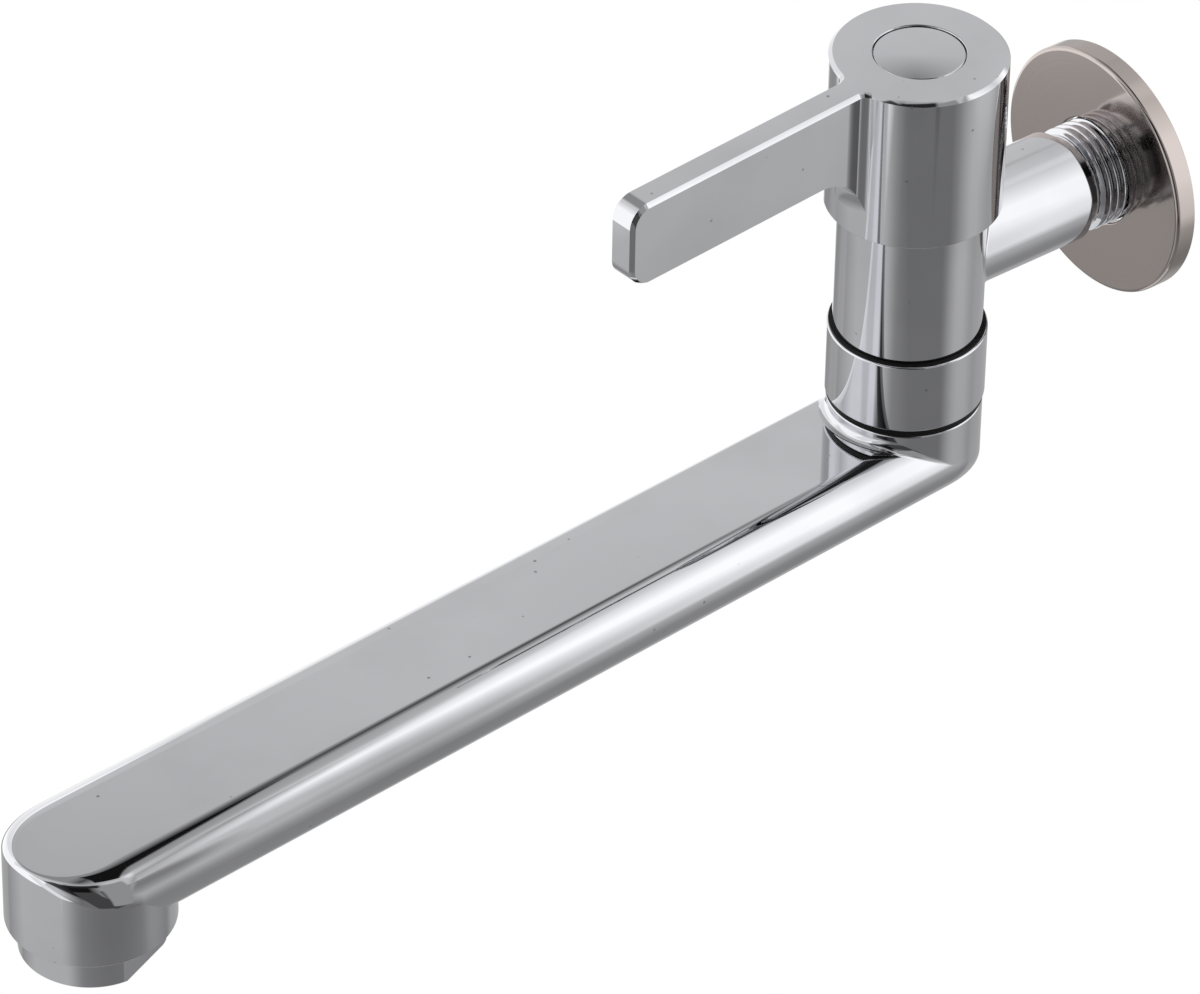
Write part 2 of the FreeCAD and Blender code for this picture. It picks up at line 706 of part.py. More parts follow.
def make_aerator_screen():
    """The outlet screen: two crossed layers of bars, open where their slots meet."""
    body = new_body("aerator_screen")
    low = aerator_bottom + d.aerator_lip_height
    disc = new_sketch(body, "XY_Plane", low)
    circle(disc, d.aerator_bore - d.fit_gap)
    pad(body, disc, d.screen_height)
    half = d.screen_hole
    rows = int((d.aerator_lip.value - half.value * 2) / d.screen_pitch.value)
    layer = d.screen_height / 2
    for level, quarter in ((low, 0), (low + layer, 90)):
        slots = new_sketch(body, "XY_Plane", level)
        bind(slots, "AttachmentOffset.Rotation.Angle", measure(quarter))
        for number in range(-rows, rows + 1):
            x = d.screen_pitch * number
            far_side = d.screen_pitch * abs(number) + half
            reach = root(d.aerator_lip * d.aerator_lip - far_side * far_side)
            rectangle(slots, x - half, x + half, -reach, reach)
        pocket(body, slots, layer, reverse=True)
    return on_outlet(body)


def make_aerator_washer():
    body = new_body("aerator_washer")
    sketch = new_sketch(body, "XZ_Plane")
    low = rim_z + d.outlet_thread_length
    high = low + d.washer_height
    rectangle(sketch, d.washer_bore, d.outlet_thread - d.fit_gap, low, high)
    turn(body, sketch)
    return on_outlet(body)


def make_headwork_body():
    """The brass headwork: windowed barrel, thread, flange, hexagon and gland."""
    body = new_body("headwork_body")
    sketch = new_sketch(body, "XZ_Plane")
    barrel_top = fixed_disc_bottom + d.barrel_length
    thread = d.chamber_radius - d.fit_gap
    seal_groove = thread - d.flange_cord * 2
    seal_low = d.body_rise - d.flange_cord * 2 - d.fit_gap * 2
    cavity = d.disc_radius + d.fit_gap * 2
    gland_bore = d.spindle_radius + d.turn_gap
    outline(sketch, [
        (cavity, fixed_disc_bottom), (d.barrel_radius, fixed_disc_bottom),
        (d.barrel_radius, barrel_top), (thread, barrel_top), (thread, seal_low),
        (seal_groove, seal_low), (seal_groove, d.body_rise), (d.headwork_flange, d.body_rise),
        (d.headwork_flange, headwork_top), (d.gland_radius, headwork_top),
        (d.gland_radius, gland_top), (gland_bore, gland_top), (gland_bore, foot_top + d.slip),
        (cavity, foot_top + d.slip)])
    turn(body, sketch)
    spanner = new_sketch(body, "XY_Plane", headwork_top)
    hexagon(spanner, d.hexagon_flats)
    circle(spanner, gland_bore)
    pad(body, spanner, d.hexagon_height)
    window = new_sketch(body, "YZ_Plane")
    rectangle(window, -d.window_width / 2, d.window_width / 2,
              moving_disc_bottom, moving_disc_bottom + d.window_height)
    cut = pocket(body, window, d.barrel_radius * 1.2, reverse=True)
    around(body, cut, 4)
    ring = cord_ring("headwork_oring", thread - d.flange_cord, d.flange_cord * 0.95,
                     seal_low + d.flange_cord + d.fit_gap)
    return tap_axis(body), ring


def sector(sketch, inner, outer, half_angle):
    """A ring sector about the sketch's +X axis."""
    near = inner * math.cos(math.radians(half_angle))
    near_side = inner * math.sin(math.radians(half_angle))
    far = outer * math.cos(math.radians(half_angle))
    far_side = outer * math.sin(math.radians(half_angle))
    outline(sketch, [(near, near_side), (near, -near_side, -inner),
                     (far, -far_side), (far, far_side, outer)])


def make_discs():
    """The seal on the chamber's floor and the two ceramic discs."""
    plain_ring("seat_seal", d.port_radius + d.fit_gap, d.barrel_radius,
               chamber_floor, fixed_disc_bottom)
    fixed = new_body("fixed_disc")
    face = new_sketch(fixed, "XY_Plane", fixed_disc_bottom)
    circle(face, d.disc_radius)
    pad(fixed, face, d.disc_height)
    port = new_sketch(fixed, "XY_Plane", fixed_disc_bottom)
    sector(port, d.disc_hub, d.port_radius, 42)
    around(fixed, pocket(fixed, port, d.disc_height, reverse=True), 2)
    tap_axis(fixed)

    moving = new_body("moving_disc")
    low = moving_disc_bottom + d.slip
    face = new_sketch(moving, "XY_Plane", low)
    circle(face, d.disc_radius)
    pad(moving, face, d.disc_height - d.slip)
    port = new_sketch(moving, "XY_Plane", low)
    bind(port, "AttachmentOffset.Rotation.Angle", measure(90))
    sector(port, d.disc_hub * 2, d.disc_port, 42)
    around(moving, pocket(moving, port, d.disc_height, reverse=True), 2)
    slot = new_sketch(moving, "XY_Plane", foot_bottom - d.tongue_depth - d.fit_gap)
    half_width = d.tongue_width / 2 + d.fit_gap
    half_length = d.tongue_length / 2 + d.fit_gap
    rectangle(slot, -half_length, half_length, -half_width, half_width)
    pocket(moving, slot, d.tongue_depth + d.fit_gap * 2, reverse=True)
    tap_axis(moving, d.lever_swing)


def make_spindle():
    """The spindle: tongue and foot below, seal grooves, clip groove and splined end."""
    body = new_body("spindle")
    sketch = new_sketch(body, "XZ_Plane")
    shaft = d.spindle_radius
    groove = shaft - d.gland_cord * 2
    width = d.gland_cord * 2 + d.fit_gap * 2
    first = foot_top + d.barrel_length / 2
    second = first + width * 2.5
    seat = gland_top + d.slip
    outline(sketch, [
        (zero, foot_bottom), (d.spindle_foot, foot_bottom), (d.spindle_foot, foot_top),
        (shaft, foot_top), (shaft, first), (groove, first), (groove, first + width),
        (shaft, first + width), (shaft, second), (groove, second), (groove, second + width),
        (shaft, second + width), (shaft, seat), (d.clip_groove, seat),
        (d.clip_groove, seat + d.clip_height + d.slip), (shaft, seat + d.clip_height + d.slip),
        (shaft, spindle_top), (zero, spindle_top)])
    turn(body, sketch)
    tongue = new_sketch(body, "XY_Plane", foot_bottom - d.tongue_depth)
    rectangle(tongue, -d.tongue_length / 2, d.tongue_length / 2,
              -d.tongue_width / 2, d.tongue_width / 2)
    pad(body, tongue, d.tongue_depth)
    tapped = new_sketch(body, "XY_Plane", spindle_top - d.screw_grip - 1)
    circle(tapped, d.screw_radius + d.turn_gap)
    pocket(body, tapped, d.screw_grip + 2, reverse=True)
    tooth = new_sketch(body, "XY_Plane", spindle_top - d.spline_length)
    half = d.spline_depth
    outline(tooth, [(shaft - d.spline_depth, zero), (shaft + d.fit_gap, -half),
                    (shaft + d.fit_gap, half)])
    cut = pocket(body, tooth, d.spline_length, reverse=True)
    around(body, cut, int(d.spline_teeth.value))
    tap_axis(body, d.lever_swing)
    for number, low in ((1, first), (2, second)):
        cord_ring(f"spindle_oring_{number}", shaft - d.gland_cord, d.gland_cord,
                  low + width / 2, d.lever_swing)
    clip = plain_ring("spindle_clip", d.clip_groove + d.fit_gap, d.clip_radius,
                      seat, seat + d.clip_height, d.lever_swing)
    split(clip, d.clip_groove * 1.4, d.clip_radius, seat, seat + d.clip_height)


def make_handle():
    """The handle in one casting: cap, skirt and hub turned, then the lever with its arch."""
    body = new_body("handle")
    sketch = new_sketch(body, "XZ_Plane")
    recess = d.button_radius + d.button_gap
    spline = d.spindle_radius + d.turn_gap
    hollow_top = handle_top - d.cap_roof
    hub_edge = hub_bottom
    outline(sketch, [
        (skirt_inside, d.skirt_bottom), (d.cap_radius, d.skirt_bottom), (d.cap_radius, handle_top),
        (recess, handle_top), (recess, recess_floor), (d.pocket_radius, recess_floor),
        (d.pocket_radius, pocket_floor), (d.screw_radius + d.fit_gap, pocket_floor),
        (d.screw_radius + d.fit_gap, bore_top), (spline, bore_top), (spline, hub_edge),
        (d.hub_radius, hub_edge), (d.hub_radius, hollow_top), (skirt_inside, hollow_top)])
    turn(body, sketch)

    lever = new_sketch(body, "YZ_Plane")
    under = handle_top - d.lever_height
    arch_low = under - d.arch_radius
    tip = -d.lever_reach
    in_wall = d.skirt_wall * 0.6 - d.cap_radius
    outline(lever, [
        (in_wall, handle_top), (tip + d.lever_top_corner, handle_top),
        (tip, handle_top - d.lever_top_corner, d.lever_top_corner),
        (tip, arch_low), (in_wall, arch_low)])
    pad(body, lever, d.lever_width, both_ways=True)

    def at_root(edge):
        point = middle(edge)
        on_side = abs(abs(point.x) - d.lever_width.value / 2) < 0.01
        on_cap = abs(math.hypot(point.x, point.y) - d.cap_radius.value) < 0.01
        return on_side and on_cap and point.y < 0 and edge.BoundBox.ZLength > 1
    dress(body, "Fillet", d.root_round, at_root)

    def at_top(edge):
        point = middle(edge)
        level = edge.BoundBox.ZLength < 1e-6 and abs(point.z - handle_top.value) < 1e-6
        outside = math.hypot(point.x, point.y) > recess.value + 1
        across = abs(point.x) < 1e-6 and edge.BoundBox.YLength < 1e-6
        return level and outside and not across
    dress(body, "Chamfer", d.top_chamfer, at_top)

    arch = new_sketch(body, "XZ_Plane")
    foot = arch_low + d.arch_foot
    crown = d.cap_radius + root(d.arch_radius * d.arch_radius - d.arch_foot * d.arch_foot)
    beyond = d.lever_reach * 1.1
    outline(arch, [(d.cap_radius, arch_low - 1), (beyond, arch_low - 1), (beyond, under),
                   (crown, under), (d.cap_radius, foot, d.arch_radius)])
    turn(body, arch, cut=True)

    def at_low_corner(edge):
        point = middle(edge)
        return abs(point.y - tip.value) < 1e-6 and abs(point.z - under.value) < 1e-6
    dress(body, "Fillet", d.lever_low_corner, at_low_corner)
    return tap_axis(body, d.lever_swing)


def make_index_button():
    """The button: a short plug with a slightly domed top, in the recess of the cap."""
    body = new_body("index_button")
    sketch = new_sketch(body, "XZ_Plane")
    edge_z = recess_floor + d.button_height
    crown = (d.button_radius * d.button_radius + d.button_crown * d.button_crown) \
        / (d.button_crown * 2)
    outline(sketch, [(zero, recess_floor), (d.button_radius, recess_floor),
                     (d.button_radius, edge_z), (zero, edge_z + d.button_crown, crown)])
    turn(body, sketch)
    return tap_axis(body, d.lever_swing)


def make_handle_screw():
    """The screw under the button, with its socket."""
    head_top = pocket_floor + d.screw_head_height
    tip = spindle_top - d.screw_grip
    screw = turned_piece("handle_screw", [
        (zero, tip), (d.screw_radius, tip), (d.screw_radius, pocket_floor),
        (d.screw_head, pocket_floor), (d.screw_head, head_top), (zero, head_top)], d.lever_swing)
    socket = new_sketch(screw, "XY_Plane", head_top)
    hexagon(socket, d.screw_socket)
    pocket(screw, socket, d.screw_head_height * 0.6)
    return screw


make_valve_body()
make_wall_flange()
make_slip_rings()
make_spout_nut()
make_retaining_ring()
make_spout()
make_aerator_housing()
make_aerator_insert()
make_aerator_screen()
make_aerator_washer()
make_headwork_body()
make_discs()
make_spindle()
make_handle()
make_index_button()
make_handle_screw()
doc.recompute()

for item in doc.Objects:
    if "Invalid" in item.State or "Error" in item.State:
        raise RuntimeError(f"{item.Label} failed: {item.State}")
for item in finished:
    if item.Shape.isNull() or not item.Shape.isValid() or len(item.Shape.Solids) != 1:
        raise RuntimeError(f"{item.Label} is not one valid solid")
for item in finished:
    item.Shape.exportStep(f"parts/{item.Label}.step")
    print(f"{item.Label:18s} {item.Shape.Volume:10.1f} mm3")
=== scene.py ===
"""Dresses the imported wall-mounted kitchen tap: its visible pieces, finishes and a plain studio.

Every visible piece is a set of surfaces on grids of two parameters, worked out with numpy in
metres. The tap's own axis is vertical; pieces on it are worked out about that axis with the spout
and the lever pointing along -Y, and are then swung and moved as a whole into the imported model's
frame.
"""
import math

import bpy
import numpy as np
from mathutils import Matrix, Vector


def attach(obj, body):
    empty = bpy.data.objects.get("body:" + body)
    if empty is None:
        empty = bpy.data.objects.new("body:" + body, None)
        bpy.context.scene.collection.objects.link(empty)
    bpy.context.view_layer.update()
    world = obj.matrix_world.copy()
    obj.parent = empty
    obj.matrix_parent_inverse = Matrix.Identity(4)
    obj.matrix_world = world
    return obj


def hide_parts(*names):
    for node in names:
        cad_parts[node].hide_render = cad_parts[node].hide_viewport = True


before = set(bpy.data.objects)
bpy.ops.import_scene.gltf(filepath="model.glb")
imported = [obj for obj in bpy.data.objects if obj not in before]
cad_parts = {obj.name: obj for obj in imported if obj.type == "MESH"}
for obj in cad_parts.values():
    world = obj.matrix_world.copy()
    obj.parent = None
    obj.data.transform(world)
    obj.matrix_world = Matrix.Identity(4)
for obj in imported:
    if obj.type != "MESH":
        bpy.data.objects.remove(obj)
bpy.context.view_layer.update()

bl_info = {
    "name": "Wall-mounted kitchen tap",
    "version": (1, 0, 0),
    "blender": (4, 5, 0),
    "location": "3D View > Sidebar > Tap",
    "description": "Builds the visible pieces, finishes and studio of a wall-mounted kitchen tap",
    "category": "Add Mesh",
}


# ---------------------------------------------------------------- sizes and colours

def length(label, meaning, millimetres):
    return bpy.props.FloatProperty(name=label, description=meaning, default=millimetres / 1000,
                                   precision=5, unit="LENGTH", subtype="DISTANCE")


def angle(label, meaning, degrees):
    return bpy.props.FloatProperty(name=label, description=meaning, default=math.radians(degrees),
                                   unit="ROTATION", subtype="ANGLE")


def colour(label, meaning, value):
    return bpy.props.FloatVectorProperty(name=label, description=meaning, default=value, size=3,
                                         min=0.0, max=1.0, subtype="COLOR")


def share(label, meaning, value):
    return bpy.props.FloatProperty(name=label, description=meaning, default=value, min=0.0,
                                   max=1.0, subtype="FACTOR")


class TapPlace(bpy.types.PropertyGroup):
    axis_to_wall: length("Axis to wall", "Wall plane to the tap's vertical axis", 49.0)
    spout_swing: angle("Spout swing", "Spout turned from square to the wall", 4.0)
    lever_swing: angle("Lever swing", "Lever turned from square to the wall", 5.0)


class TapBodySizes(bpy.types.PropertyGroup):
    radius: length("Body radius", "Outside of the body", 14.3)
    top: length("Body top", "Inlet axis up to the body's top", 17.6)
    shoulder: length("Shoulder", "Inlet axis down to the upper slip ring", 15.65)
    spigot: length("Spigot radius", "Foot of the body inside the nut", 12.4)
    spigot_end: length("Spigot end", "Inlet axis down to the end of that foot", 26.6)
    socket: length("Socket radius", "Socket for the spout's neck", 9.78)
    socket_top: length("Socket top", "Inlet axis down to the socket's top", 13.2)
    port: length("Port radius", "Waterway through the web", 5.6)
    chamber: length("Chamber radius", "Chamber for the headwork", 10.6)
    chamber_floor: length("Chamber floor", "Inlet axis down to the chamber's floor", 9.0)
    arm: length("Arm radius", "Outside of the inlet arm", 11.0)
    arm_root: length("Arm root", "Fillet between arm and body", 1.0)
    arm_end: length("Arm length", "Tap's axis to the arm's shoulder", 36.0)
    relief: length("Relief radius", "Plain neck before the thread", 9.3)
    relief_length: length("Relief length", "Length of that neck", 2.0)
    bore: length("Bore radius", "Waterway of the arm", 7.4)
    thread: length("Thread radius", "Crest of the inlet thread", 10.4775)
    thread_pitch: length("Thread pitch", "From crest to crest", 1.814)
    thread_depth: length("Thread depth", "Crest to root", 1.16)
    thread_past_wall: length("Thread past wall", "Thread beyond the wall plane", 8.7)


class TapRingSizes(bpy.types.PropertyGroup):
    flange: length("Flange radius", "Outside of the wall flange", 25.0)
    flange_depth: length("Flange depth", "Front face to the wall", 4.4)
    flange_sheet: length("Flange sheet", "Thickness of the flange's sheet", 0.9)
    flange_bend: length("Flange bend", "Outer radius of the turned-back rim", 0.8)
    flange_hole: length("Flange hole", "Hole round the thread", 10.7775)
    nut: length("Nut radius", "Outside of the spout nut", 15.3)
    nut_top: length("Nut top", "Inlet axis down to the nut's top", 16.1)
    nut_bottom: length("Nut bottom", "Inlet axis down to the nut's bottom", 31.25)
    ring: length("Slip ring radius", "Outside of both black rings", 15.0)
    aerator: length("Outlet ring radius", "Outside of the outlet ring", 13.4)
    aerator_flats: length("Outlet ring flats", "Width across the wrench flats", 23.0)
    aerator_turn: angle("Outlet ring turn", "Turn of those flats from the spout's side", 18.0)
    aerator_end: length("Outlet ring end", "Inlet axis down to the outlet ring's end", 61.05)
    aerator_lip: length("Outlet opening", "Radius of the outlet's opening", 9.4)


class TapSpoutSizes(bpy.types.PropertyGroup):
    reach: length("Reach", "Tap's axis to the outlet's axis", 198.0)
    heel: length("Heel radius", "Half width at the heel", 15.0)
    nose: length("Nose radius", "Half width at the outlet", 15.7)
    flat: length("Flat top", "Inlet axis down to the flat top", 35.55)
    height: length("Tube height", "Flat top to the underside", 16.0)
    shoulder: length("Shoulder round", "Round between flat top and sides", 6.6)
    nose_round: length("Nose round", "That round at the tip of the nose", 1.2)
    belly: length("Belly round", "Round between sides and underside", 9.2)
    heel_round: length("Heel round", "Belly round at the back of the heel", 2.4)
    boss: length("Boss radius", "Boss under the lower black ring", 14.99)
    boss_top: length("Boss top", "Inlet axis down to the boss's top", 32.55)
    boss_root: length("Boss root", "Fillet round the foot of the boss", 2.0)
    boss_edge: length("Boss edge", "Round on the boss's top edge", 0.4)
    neck: length("Neck radius", "Neck in the body's socket", 9.7)
    neck_top: length("Neck top", "Inlet axis down to the neck's top", 13.6)
    neck_bore: length("Neck bore", "Waterway of the neck", 6.4)
    rim: length("Outlet rim", "Inlet axis down to the outlet's rim", 53.85)
    mouth: length("Outlet mouth", "Opening in the rim", 12.0)


class TapHandleSizes(bpy.types.PropertyGroup):
    cap: length("Cap radius", "Outside of cap and skirt", 16.9)
    top: length("Handle top", "Inlet axis up to the cap's top", 45.4)
    skirt: length("Skirt edge", "Inlet axis up to the skirt's edge", 12.7)
    skirt_inside: length("Skirt inside", "Inside radius of the skirt", 15.0)
    hollow_top: length("Hollow top", "Inlet axis up to the hollow's roof", 39.0)
    hub: length("Hub radius", "Hub inside the cap", 7.0)
    hub_end: length("Hub end", "Inlet axis up to the hub's lower end", 29.3)
    spline: length("Spline bore", "Bore of the hub", 4.08)
    recess: length("Recess radius", "Recess that holds the button", 8.8)
    recess_floor: length("Recess floor", "Inlet axis up to the recess's floor", 42.0)
    width: length("Lever width", "Thickness of the lever", 6.1)
    height: length("Lever height", "Height of the lever", 17.2)
    reach: length("Lever reach", "Tap's axis to the lever's end", 74.5)
    upper_corner: length("Upper corner", "Radius of the lever's upper end corner", 4.3)
    lower_corner: length("Lower corner", "Radius of the lever's lower end corner", 4.0)
    root: length("Root fillet", "Fillets between lever and cap", 2.0)
    chamfer: length("Chamfer", "Chamfer on the top edges of cap and lever", 0.75)
    chamfer_bow: angle("Chamfer bow", "Turn of the chamfer's normal to either side", 4.0)
    arch: length("Arch radius", "Arch under the lever's root", 10.5)
    arch_foot: length("Arch foot", "Arch's centre up to its foot", 0.4)
    button: length("Button radius", "Outside of the index button", 8.68)
    button_edge: length("Button edge", "Height of the button's edge", 3.2)
    button_crown: length("Button crown", "Rise of the button's middle", 0.22)


class TapFinishes(bpy.types.PropertyGroup):
    chrome: colour("Chrome", "Bright chrome plating", (0.615, 0.618, 0.642))
    nickel: colour("Satin nickel", "Polished plating of the flange", (0.47, 0.418, 0.397))
    black: colour("Black plastic", "Slip rings", (0.004, 0.004, 0.0045))
    brass: colour("Brass", "Headwork and spindle", (0.78, 0.57, 0.28))
    ceramic: colour("Ceramic", "Discs of the headwork", (0.86, 0.85, 0.82))
    steel: colour("Steel", "Screw, clip and screen", (0.52, 0.51, 0.50))
    rubber: colour("Rubber", "Seals and washers", (0.02, 0.02, 0.02))
    insert: colour("Insert plastic", "Insert of the outlet", (0.72, 0.73, 0.74))
    chrome_roughness: share("Chrome roughness", "Blur of the chrome's reflections", 0.035)


class TapStudio(bpy.types.PropertyGroup):
    azimuth: angle("Azimuth", "Camera's turn about the vertical", 52.149)
    elevation: angle("Elevation", "Camera's height above the horizon", 37.599)
    roll: angle("Roll", "Camera's turn about its own line of sight", 1.079)
    stand: bpy.props.FloatVectorProperty(
        name="Camera place", description="Where the camera stands", size=3, unit="LENGTH",
        subtype="XYZ", default=(0.96776, -0.87390, 0.91846))
    lens: bpy.props.FloatProperty(name="Lens", description="Focal length on a 36 mm sensor",
                                  default=249.8, subtype="DISTANCE_CAMERA")
    floor_drop: length("Floor", "Inlet axis down to the floor", 850.0)
    floor_half: length("Floor half width", "Middle of the floor to its edge", 260.0)
    floor_ahead: length("Floor ahead", "Wall plane to the middle of the floor", 130.0)
    floor_colour: colour("Floor colour", "Pale floor", (0.90, 0.90, 0.90))
    plain: share("Plain light", "Even light on everything that isn't polished", 0.95)
    tent: length("Tent radius", "Radius of the light tent", 1020.2)
    tent_centre: bpy.props.FloatVectorProperty(
        name="Tent centre", description="Middle of the light tent", size=3, unit="LENGTH",
        subtype="XYZ", default=(-0.188, -0.068, 0.013))


# Tent brightness low down, level with its centre and overhead, and the heights, as shares of its
# radius, at which the low and the high one are reached
TENT_LEVELS = (0.33, 0.76, 0.79)
TENT_HEIGHTS = (-0.7, 0.6)
# Panels: azimuth from +Y towards +X, elevation, turn, half width, half height and softness in
# degrees, then brightness
TENT_PANELS = (
    (347, -50, 36, 70, 14, 3.8, 0.48),
    (218, -5, -45, 34, 84, 14.4, 0.64),
    (87, 7, -88, 21, 16, 0.6, 0.31),
    (103, -20, -84, 22, 33, 7.7, 0.23),
    (225, 5, -11, 65, 43, 1.3, 1.50),
    (38, 15, 5, 25, 42, 3.6, 1.58),
    (9, 80, 116, 88, 14, 16.0, 0.96),
    (66, -17, 44, 27, 4, 14.5, 0.82),
    (72, 30, -63, 27, 2, 2.0, 0.52),
    (122, 14, -37, 11, 46, 1.8, 0.09),
    (-31, 86, 33, 35, 23, 5.8, 0.38),
    (350, 77, -38, 5, 34, 4.8, 0.09),
    (163, 3, -26, 9, 36, 1.3, 1.15),
    (279, -4, -52, 54, 15, 4.2, 1.20),
    (120, 27, -93, 27, 17, 9.1, 0.01),
    (41, 74, -28, 22, 8, 0.6, 0.01),
    (113, -1, -14, 11, 25, 0.8, 0.08),
    (90, 13, 5, 10, 33, 1.1, 0.42),
    (118, 52, -79, 5, 10, 2.0, 0.62),
    (118, 46, 0, 15, 5, 1.5, 0.03),
)


# ---------------------------------------------------------------- surfaces

UP = np.array([0.0, 0.0, 1.0])
JOIN_WITHIN = 1e-7  # points that round to the same step of this length are one
OFF_GRID = 0.37     # keeps plain sizes away from the borders between steps


def unit(vectors):
    """Vectors divided by their own length."""
    return vectors / np.maximum(np.linalg.norm(vectors, axis=-1, keepdims=True), 1e-12)


class Skin:
    """One piece's surface: grids of points with their normals, joined where points coincide."""

    def __init__(self):
        self.points, self.normals, self.quads, self.total = [], [], [], 0

    def grid(self, points, normals, mirrored=False):
        """A sheet of rows and columns. Each quad is turned to face along the given normals."""
        points, normals = np.broadcast_arrays(points, normals)
        rows, columns = points.shape[:2]
        flat, up = points.reshape(-1, 3), normals.reshape(-1, 3)
        index = np.arange(rows * columns).reshape(rows, columns)
        quads = np.stack([index[:-1, :-1], index[1:, :-1], index[1:, 1:], index[:-1, 1:]], -1)
        quads = quads.reshape(-1, 4)
        corner = flat[quads]
        facing = np.cross(corner[:, 2] - corner[:, 0], corner[:, 3] - corner[:, 1])
        away = (facing * up[quads].mean(axis=1)).sum(axis=1) < 0
        quads[away] = quads[away][:, ::-1]
        self.points.append(flat)
        self.normals.append(up)
        self.quads.append(quads + self.total)
        self.total += len(flat)
        if mirrored:
            flip = np.array([-1.0, 1.0, 1.0])
            self.grid(points * flip, normals * flip)

    def made(self, name, material, swing=0.0, stand=0.0):
        """The object, swung about the tap's axis and moved in front of the wall."""
        points, normals = np.concatenate(self.points), np.concatenate(self.normals)
        quads = np.concatenate(self.quads)
        turn = np.array([[math.cos(swing), -math.sin(swing), 0],
                         [math.sin(swing), math.cos(swing), 0], [0, 0, 1]])
        points = points @ turn.T - np.array([0, stand, 0])
        normals = unit(normals @ turn.T)
        # Points in one place become one; a quad that loses a corner so is a triangle, and one
        # that loses more is left out
        key = np.round(points / JOIN_WITHIN + OFF_GRID).astype(np.int64)
        _, first, joined = np.unique(key, axis=0, return_index=True, return_inverse=True)
        corners = joined.reshape(-1)[quads]
        kept = corners != np.roll(corners, -1, axis=1)
        whole = (kept.sum(axis=1) >= 3) & (corners[:, 0] != corners[:, 2]) \
            & (corners[:, 1] != corners[:, 3])
        corners, kept = corners[whole], kept[whole]
        loop_normals = normals[quads[whole]][kept]
        ends = np.cumsum(kept.sum(axis=1))[:-1]
        faces = [face.tolist() for face in np.split(corners[kept], ends)]
        mesh = bpy.data.meshes.new(name)
        mesh.from_pydata(points[first].tolist(), [], faces)
        mesh.polygons.foreach_set("use_smooth", np.ones(len(faces), bool))
        if mesh.validate(clean_customdata=False):
            raise RuntimeError(f"{name} has a broken mesh")
        mesh.normals_split_custom_set(loop_normals.tolist())
        mesh.materials.append(material)
        made = bpy.data.objects.new(name, mesh)
        bpy.context.scene.collection.objects.link(made)
        return made


def path(corners, closed=False, segments=5):
    """Points and outward normals along an outline with the material on its left.

    A corner is (x, y), which stays sharp and is given twice, or (x, y, r), which becomes an arc of
    that radius: centre = start - side r n0 and point = centre + side r n, with n turning from n0.
    """
    corners = [tuple(corner) + (0.0,) * (3 - len(corner)) for corner in corners]
    if closed:
        middle = tuple((np.array(corners[0][:2]) + np.array(corners[-1][:2])) / 2) + (0.0,)
        corners = [middle] + corners + [middle]
    spots = np.array([corner[:2] for corner in corners])
    along = unit(np.diff(spots, axis=0))
    out = np.stack([along[:, 1], -along[:, 0]], -1)
    points, normals = [spots[:1]], [out[:1]]
    for number in range(1, len(corners) - 1):
        radius = corners[number][2]
        before, after = along[number - 1], along[number]
        side = math.copysign(1.0, before[0] * after[1] - before[1] * after[0])
        turn = math.acos(max(-1.0, min(1.0, float(before @ after))))
        start = spots[number] - before * radius * math.tan(turn / 2)
        steps = np.linspace(0, turn, segments + 1 if radius else 2)[:, None] * side
        normal = out[number - 1]
        turned = normal * np.cos(steps) + np.array([-normal[1], normal[0]]) * np.sin(steps)
        points.append(start - side * radius * normal + side * radius * turned)
        normals.append(turned)
    points.append(spots[-1:])
    normals.append(out[-1:])
    return np.concatenate(points), np.concatenate(normals)


def ring(count=144):
    """Directions evenly round a circle, from -Y by way of +X, closed on the first."""
    return around_axis(np.linspace(0, 2 * np.pi, count + 1))


def around_axis(turns):
    """Horizontal unit vectors (sin t, -cos t, 0)."""
    return np.stack([np.sin(turns), -np.cos(turns), np.zeros_like(turns)], -1)


def to_wall(turns):
    """Horizontal unit vectors (sin t, cos t, 0)."""
    return np.stack([np.sin(turns), np.cos(turns), np.zeros_like(turns)], -1)


def turned(outline, directions=None, axis=UP):
    """A (radius, height) outline carried round an axis k: r d + z k."""
    directions = ring() if directions is None else directions
    return [part[:, None, 0:1] * directions + part[:, None, 1:2] * axis for part in outline]


def lying(grid):
    """A turned grid laid down, so that its axis points along +Y: (x, y, z) -> (x, z, -y)."""
    return [np.stack([part[..., 0], part[..., 2], -part[..., 1]], -1) for part in grid]


def ruled(first, last, steps=2):
    """Straight lines from one curve to another: (1 - v) A + v B."""
    v = np.linspace(0, 1, steps + 1)[:, None, None]
    return (1 - v) * first + v * last


def swept(first, last, steps):
    """Directions from one to another by even turns: (sin((1 - v) t) A + sin(v t) B) / sin t."""
    turn = np.arccos(np.clip((first * last).sum(-1, keepdims=True), -1, 1))
    v = np.linspace(0, 1, steps + 1)[:, None, None]
    return (np.sin((1 - v) * turn) * first + np.sin(v * turn) * last) \
        / np.maximum(np.sin(turn), 1e-9)


def slopes(points, toward):
    """Normals of a grid from its own central differences, on the side of the given ones."""
    across, down = np.gradient(points, axis=1), np.gradient(points, axis=0)
    normals = unit(np.cross(across, down))
    return normals * np.where((normals * toward).sum(-1, keepdims=True) < 0, -1.0, 1.0)


